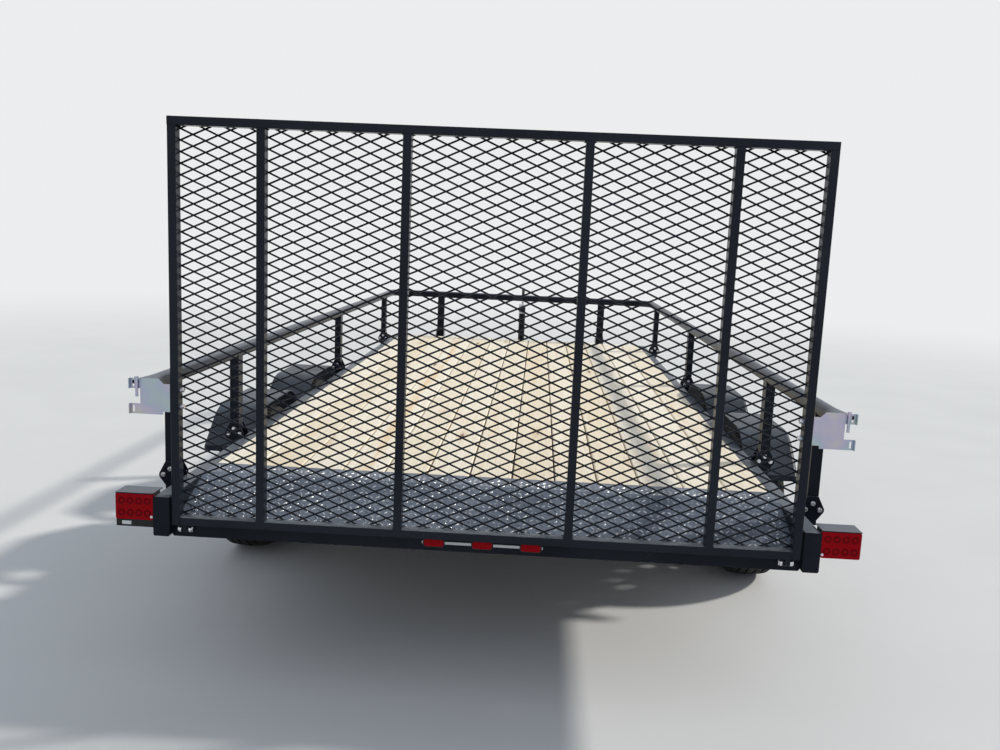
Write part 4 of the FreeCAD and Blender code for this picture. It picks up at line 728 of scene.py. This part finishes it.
for end, side_name, side, station in WHEELS:
    centre = spot(side * WHEEL_AT, station, AXLE_HIGH)
    tyre = bmesh.new()
    outline = [tyre.verts.new(centre + Vector((x, 0.0, radius))) for x, radius in TYRE_HALF]
    outline += [tyre.verts.new(centre + Vector((-x, 0.0, radius))) for x, radius in reversed(TYRE_HALF)]
    loop = [tyre.edges.new((first, last)) for first, last in zip(outline, outline[1:] + outline[:1])]
    bmesh.ops.spin(tyre, geom=outline + loop, cent=centre, axis=(1.0, 0.0, 0.0), angle=math.tau,
                   steps=TYRE_STEPS, use_merge=True)
    bmesh.ops.remove_doubles(tyre, verts=tyre.verts, dist=MERGE)
    bmesh.ops.recalc_face_normals(tyre, faces=tyre.faces)
    notches, sipes = [], []
    for face in tyre.faces:
        arm = face.calc_center_median() - centre
        column = int((math.atan2(arm.z, arm.y) % math.tau) / math.tau * TYRE_STEPS)
        out, high = abs(arm.x), math.hypot(arm.y, arm.z)
        if high > NOTCH_HIGH and NOTCH_IN < out < NOTCH_OUT and column % NOTCH_EVERY == (arm.x > 0):
            notches.append(face)
        elif high > SIPE_HIGH and SIPE_IN < out < SIPE_OUT and column % NOTCH_EVERY == 2:
            sipes.append(face)
    bmesh.ops.inset_region(tyre, faces=notches, thickness=0.0028, depth=-0.0050, use_even_offset=True)
    bmesh.ops.inset_individual(tyre, faces=sipes, thickness=0.0043, depth=-0.0045, use_even_offset=True)
    node = f"tyre_{end}_{side_name}"
    piece(node + "_tread", tyre, rubber, f"wheel_{end}_{side_name}", "tyre", node, sharp=0.5)


# Wheels: pressed steel discs in rolled rims, painted silver, on machined hubs with a spun
# grease cap. A rubber valve stem comes out through each rim beside the tyre's bead.
silver = Coat("rim_silver", Metallic=0.55, Coat_Weight=0.2, Coat_Roughness=0.2)
flake = silver.noise(700.0, 2.0)
brake_dust = silver.noise(9.0, 4.0).rise(0.5, 0.8)
silver.wear((brake_dust * 0.25).blend(flake.blend((0.42, 0.43, 0.44, 1.0), (0.55, 0.56, 0.57, 1.0)),
                                      (0.22, 0.20, 0.18, 1.0)), 0.34 + flake * 0.1 + brake_dust * 0.1)
cast = Coat("hub_steel", Metallic=0.9)
scale = cast.noise(60.0, 4.0)
cast.wear(scale.blend((0.36, 0.37, 0.38, 1.0), (0.52, 0.53, 0.54, 1.0)), 0.30 + scale * 0.2,
          relief=scale, depth=0.0002)
STEM_IN, STEM_UP, STEM_LEAN = 0.050, 0.171, (0.86, -0.51)
STEM_OUTLINE = ((0.0, 0.0060), (0.004, 0.0060), (0.007, 0.0045), (0.020, 0.0040), (0.021, 0.0048),
                (0.030, 0.0048), (0.032, 0.0036))
for end, side_name, side, station in WHEELS:
    finished(silver, 0.0, 0.0, f"rim_{end}_{side_name}")
    finished(cast, 0.0, 0.0, f"hub_{end}_{side_name}")
    root = spot(side * (WHEEL_AT + STEM_IN), station, AXLE_HIGH + STEM_UP)
    lean = Vector((side * STEM_LEAN[0], 0.0, STEM_LEAN[1])).to_track_quat("Z", "Y").to_matrix().to_4x4()
    stem = bmesh.new()
    outline = [stem.verts.new((radius, 0.0, rise)) for rise, radius in STEM_OUTLINE]
    outline.append(stem.verts.new((0.0, 0.0, STEM_OUTLINE[-1][0])))
    loop = [stem.edges.new((first, last)) for first, last in zip(outline, outline[1:])]
    bmesh.ops.spin(stem, geom=outline + loop, cent=(0, 0, 0), axis=(0.0, 0.0, 1.0), angle=math.tau,
                   steps=12, use_merge=True)
    bmesh.ops.remove_doubles(stem, verts=stem.verts, dist=MERGE)
    bmesh.ops.holes_fill(stem, edges=stem.edges[:])
    bmesh.ops.recalc_face_normals(stem, faces=stem.faces)
    bmesh.ops.transform(stem, verts=stem.verts, matrix=Matrix.Translation(root) @ lean)
    piece(f"valve_stem_{end}_{side_name}", stem, rubber, f"wheel_{end}_{side_name}", "tyre")


# Fenders: moulded black plastic with a light grain and a rolled outer edge, glossy enough to
# show a pale line along each bend, with a blue-grey sheen painted in patches on what faces up.
grained = Coat("fender_plastic", Specular_IOR_Level=0.16)
pebble = grained.cells(420.0)
# Painted sheen: upward faces are blended in patches towards pale blue-grey, a painted reflection of the sky.
grained.wear((grained.facing("Z").rise(0.4, 1.0) * grained.noise(5.0, 4.0).rise(0.2, 0.8) * 0.5).blend(
    grained.noise(4.0).rise(0.3, 0.7).blend((0.008, 0.013, 0.023, 1.0), (0.020, 0.027, 0.042, 1.0)),
    (0.180, 0.210, 0.260, 1.0)), 0.36 + pebble * 0.12, relief=pebble, depth=0.00015)
finished(grained, 0.0, 0.0, "fenders_left", "fenders_right")


# Tongue: two channels under the bed's front that meet in a pressed, plated coupler, bolted
# through its skirts. Its lever closes a jaw under the ball socket.
plain_zinc = zinc_plate("coupler_zinc", (0.50, 0.52, 0.55, 1.0), 0.28, 0.14)
finished(plain_zinc, 0.0012, 0.02, "coupler", "coupler_latch")
COUPLER_BOLTS, COUPLER_BOLT_HIGH = (5.780, 5.860), 0.492
SKIRT_END, SKIRT_END_HALF, SKIRT_THICK = 5.900, 0.048, 0.0070
COUPLER_BOLT, PIVOT_BOLT, PIVOT_AT = (0.0095, 0.008, 0.0125), (0.006, 0.004), (0.0, 6.0233, 0.5260)
TONGUE_TURN = math.radians(25.0)
coupler_bolts = bmesh.new()
for side in (-1, 1):
    for station in COUPLER_BOLTS:
        half = SKIRT_END_HALF + (SKIRT_END - station) * math.tan(TONGUE_TURN) + SKIRT_THICK
        turn = Vector((side * math.cos(TONGUE_TURN), math.sin(TONGUE_TURN), 0.0))
        place = Matrix.Translation(spot(side * half, station, COUPLER_BOLT_HIGH))
        hex_head(coupler_bolts, place @ turn.to_track_quat("Z", "Y").to_matrix().to_4x4(), *COUPLER_BOLT)
hex_head(coupler_bolts, Matrix.Translation(spot(*PIVOT_AT)), *PIVOT_BOLT)
piece("coupler_bolts", coupler_bolts, fastener, "chassis", "coupler_zinc")


# Jack: a black coated screw jack, bolted by its flange to the plate on the tongue, with a
# plated cap, ring, crank and leg, and a ribbed black grip.
JACK_AT, JACK_FLANGE_TOP, JACK_TOP, JACK_BOLT_CIRCLE = 5.600, 0.529, 0.898, 0.046
JACK_BOLTS, JACK_BOLT, CAP_SCREW = 3, (0.0085, 0.008, 0.0115), (0.0065, 0.005)
jack_coat = powder_coat("jack_powder_coat", (0.006, 0.007, 0.010, 1.0), (0.014, 0.015, 0.018, 1.0), 0.26, 0.2)
finished(jack_coat, 0.0, 0.0, "jack_tube")
finished(plain_zinc, 0.0, 0.0, "jack_fittings", "jack_crank")
finished(plain_zinc, 0.0015, 0.05, "jack_leg")
jack_bolts = bmesh.new()
for index in range(JACK_BOLTS):
    turn = math.radians(90 + 360 / JACK_BOLTS * index)
    place = spot(JACK_BOLT_CIRCLE * math.cos(turn), JACK_AT + JACK_BOLT_CIRCLE * math.sin(turn),
                 JACK_FLANGE_TOP)
    hex_head(jack_bolts, Matrix.Translation(place), *JACK_BOLT)
hex_head(jack_bolts, Matrix.Translation(spot(0.0, JACK_AT, JACK_TOP)), *CAP_SCREW)
piece("jack_bolts", jack_bolts, fastener, "chassis", "zinc")
grip = Coat("grip_plastic", Roughness=0.55)
ridges = grip.node("ShaderNodeTexWave", {"bands_direction": "Z"}, {"Vector": grip.place, "Scale": 60.0})
grip.wear(ridges.blend((0.016, 0.016, 0.017, 1.0), (0.032, 0.032, 0.033, 1.0)), relief=ridges, depth=0.0006)
finished(grip, 0.003, 0.0, "crank_grip")


# Lamps: red lenses moulded over two rows of reflector cells, in black bodies under folded
# hoods, a small lamp with a clear window for the plate, three middle lamps, amber markers.
TAIL_IN, TAIL_LOW, LENS_FACE = 1.036, 0.562, 0.0
CELL_IN, CELL_PITCH, CELL_UP, CELL_RISE = 0.0180, 0.0275, 0.0225, 0.0385
CELL_R, CELL_FACE_R, CELL_HIGH = 0.0118, 0.0108, 0.0024
REARWARD = Matrix.Rotation(math.radians(90), 4, "X")
lens = Coat("red_lens", Roughness=0.14, Specular_IOR_Level=0.05)
flutes = lens.cells(320.0)
lens.wear(flutes.rise(0.0, 0.6).blend((0.40, 0.0012, 0.0075, 1.0), (0.26, 0.0008, 0.0050, 1.0)),
          relief=flutes, depth=0.0003)
finished(lens, 0.002, 0.0, "tail_lenses", "middle_lamps")
cell_coat = Coat("lens_cells", Roughness=0.16, Specular_IOR_Level=0.05)
dots = cell_coat.cells(500.0)
cell_coat.wear(dots.rise(0.0, 0.6).blend((0.24, 0.0010, 0.0050, 1.0), (0.12, 0.0006, 0.0025, 1.0)),
               relief=dots, depth=0.0003)
lens_cells = bmesh.new()
for side in (-1, 1):
    for row in range(2):
        for column in range(4):
            place = spot(side * (TAIL_IN + CELL_IN + column * CELL_PITCH), LENS_FACE,
                         TAIL_LOW + CELL_UP + row * CELL_RISE)
            made = bmesh.ops.create_cone(lens_cells, cap_ends=True, segments=20, radius1=CELL_R,
                                         radius2=CELL_FACE_R, depth=CELL_HIGH,
                                         matrix=Matrix.Translation(place) @ REARWARD)
            front = min({face for vert in made["verts"] for face in vert.link_faces},
                        key=lambda face: face.calc_center_median().y)
            bmesh.ops.inset_region(lens_cells, faces=[front], thickness=0.0018, depth=0.0)
            bmesh.ops.inset_region(lens_cells, faces=[front], thickness=0.0050, depth=-0.0016)
piece("tail_lens_cells", lens_cells, cell_coat, "chassis", "red_lens")
amber_lens = Coat("amber_lens", Roughness=0.15, Specular_IOR_Level=0.2)
ribs = amber_lens.cells(280.0)
amber_lens.wear(ribs.rise(0.0, 0.6).blend((0.72, 0.20, 0.012, 1.0), (0.45, 0.10, 0.006, 1.0)),
                relief=ribs, depth=0.0003)
finished(amber_lens, 0.002, 0.0, "side_markers")
black_body = Coat("lamp_body", Roughness=0.42, Specular_IOR_Level=0.16)
black_body.wear(black_body.noise(20.0).blend((0.014, 0.014, 0.016, 1.0), (0.026, 0.026, 0.028, 1.0)),
                relief=black_body.noise(600.0), depth=0.0001)
finished(black_body, 0.002, 0.0, "tail_housings", "plate_lamp")
finished(frame_coat, 0.0006, 0.02, "tail_hoods")
pale_metal = Coat("pale_plate", Metallic=0.6, Specular_IOR_Level=0.5)
brush = pale_metal.noise(30.0, 3.0, (1.0, 12.0, 12.0))
pale_metal.wear(brush.blend((0.34, 0.36, 0.38, 1.0), (0.48, 0.50, 0.52, 1.0)), 0.35 + brush * 0.2)
finished(pale_metal, 0.0005, 0.02, "lamp_bar")


def rounded_plate(shape, place, wide, high, thick, corner):
    """A plate with rounded corners, its back on the plane of its place."""
    outward = place.to_3x3() @ Vector((0.0, 0.0, 1.0))
    made = bmesh.ops.create_cube(shape, size=1.0, matrix=place @ Matrix.Translation((0.0, 0.0, thick / 2))
                                 @ Matrix.Diagonal((wide, high, thick, 1.0)))
    corners = {edge for vert in made["verts"] for edge in vert.link_edges
               if abs((edge.verts[1].co - edge.verts[0].co).dot(outward)) > thick / 2}
    bmesh.ops.bevel(shape, geom=list(corners), offset=corner, offset_type="OFFSET", segments=4, profile=0.5,
                    affect="EDGES", material=-1)


ID_PITCH, ID_HEIGHT, ID_BACK = 0.1524, 0.532, 0.028
GROMMET, WINDOW = (0.069, 0.030, 0.0022, 0.011), (0.0296, 0.0116, 0.0030, 0.002)
WINDOW_AT = (-1.123, 0.0078, 0.550)
LAMP_SCREW_IN, LAMP_SCREW_UP, LAMP_SCREW_BACK = 0.004, 0.012, -0.0010
LAMP_SCREW = (0.0036, 0.0025, 0.0046)
grommets = bmesh.new()
for index in (-1, 0, 1):
    place = Matrix.Translation(spot(index * ID_PITCH, ID_BACK, ID_HEIGHT))
    rounded_plate(grommets, place @ REARWARD, *GROMMET)
piece("middle_lamp_grommets", grommets, black_body, "chassis", "lamp_black")
lamp_screws = bmesh.new()
for side in (-1, 1):
    place = Matrix.Translation(spot(side * (TAIL_IN + LAMP_SCREW_IN), LAMP_SCREW_BACK,
                                    TAIL_LOW + LAMP_SCREW_UP))
    hex_head(lamp_screws, place @ REARWARD, *LAMP_SCREW)
piece("lamp_screws", lamp_screws, fastener, "chassis", "zinc")
window = bmesh.new()
rounded_plate(window, Matrix.Translation(spot(*WINDOW_AT)) @ REARWARD, *WINDOW)
clear = Coat("clear_window", Roughness=0.12, IOR=1.49, Coat_Weight=0.4)
ripple = clear.node("ShaderNodeTexWave", {"bands_direction": "X"}, {"Vector": clear.place, "Scale": 90.0})
clear.wear(ripple.blend((0.50, 0.54, 0.56, 1.0), (0.70, 0.73, 0.75, 1.0)), relief=ripple, depth=0.0004)
piece("plate_lamp_window", window, clear, "chassis", "lamp_black")
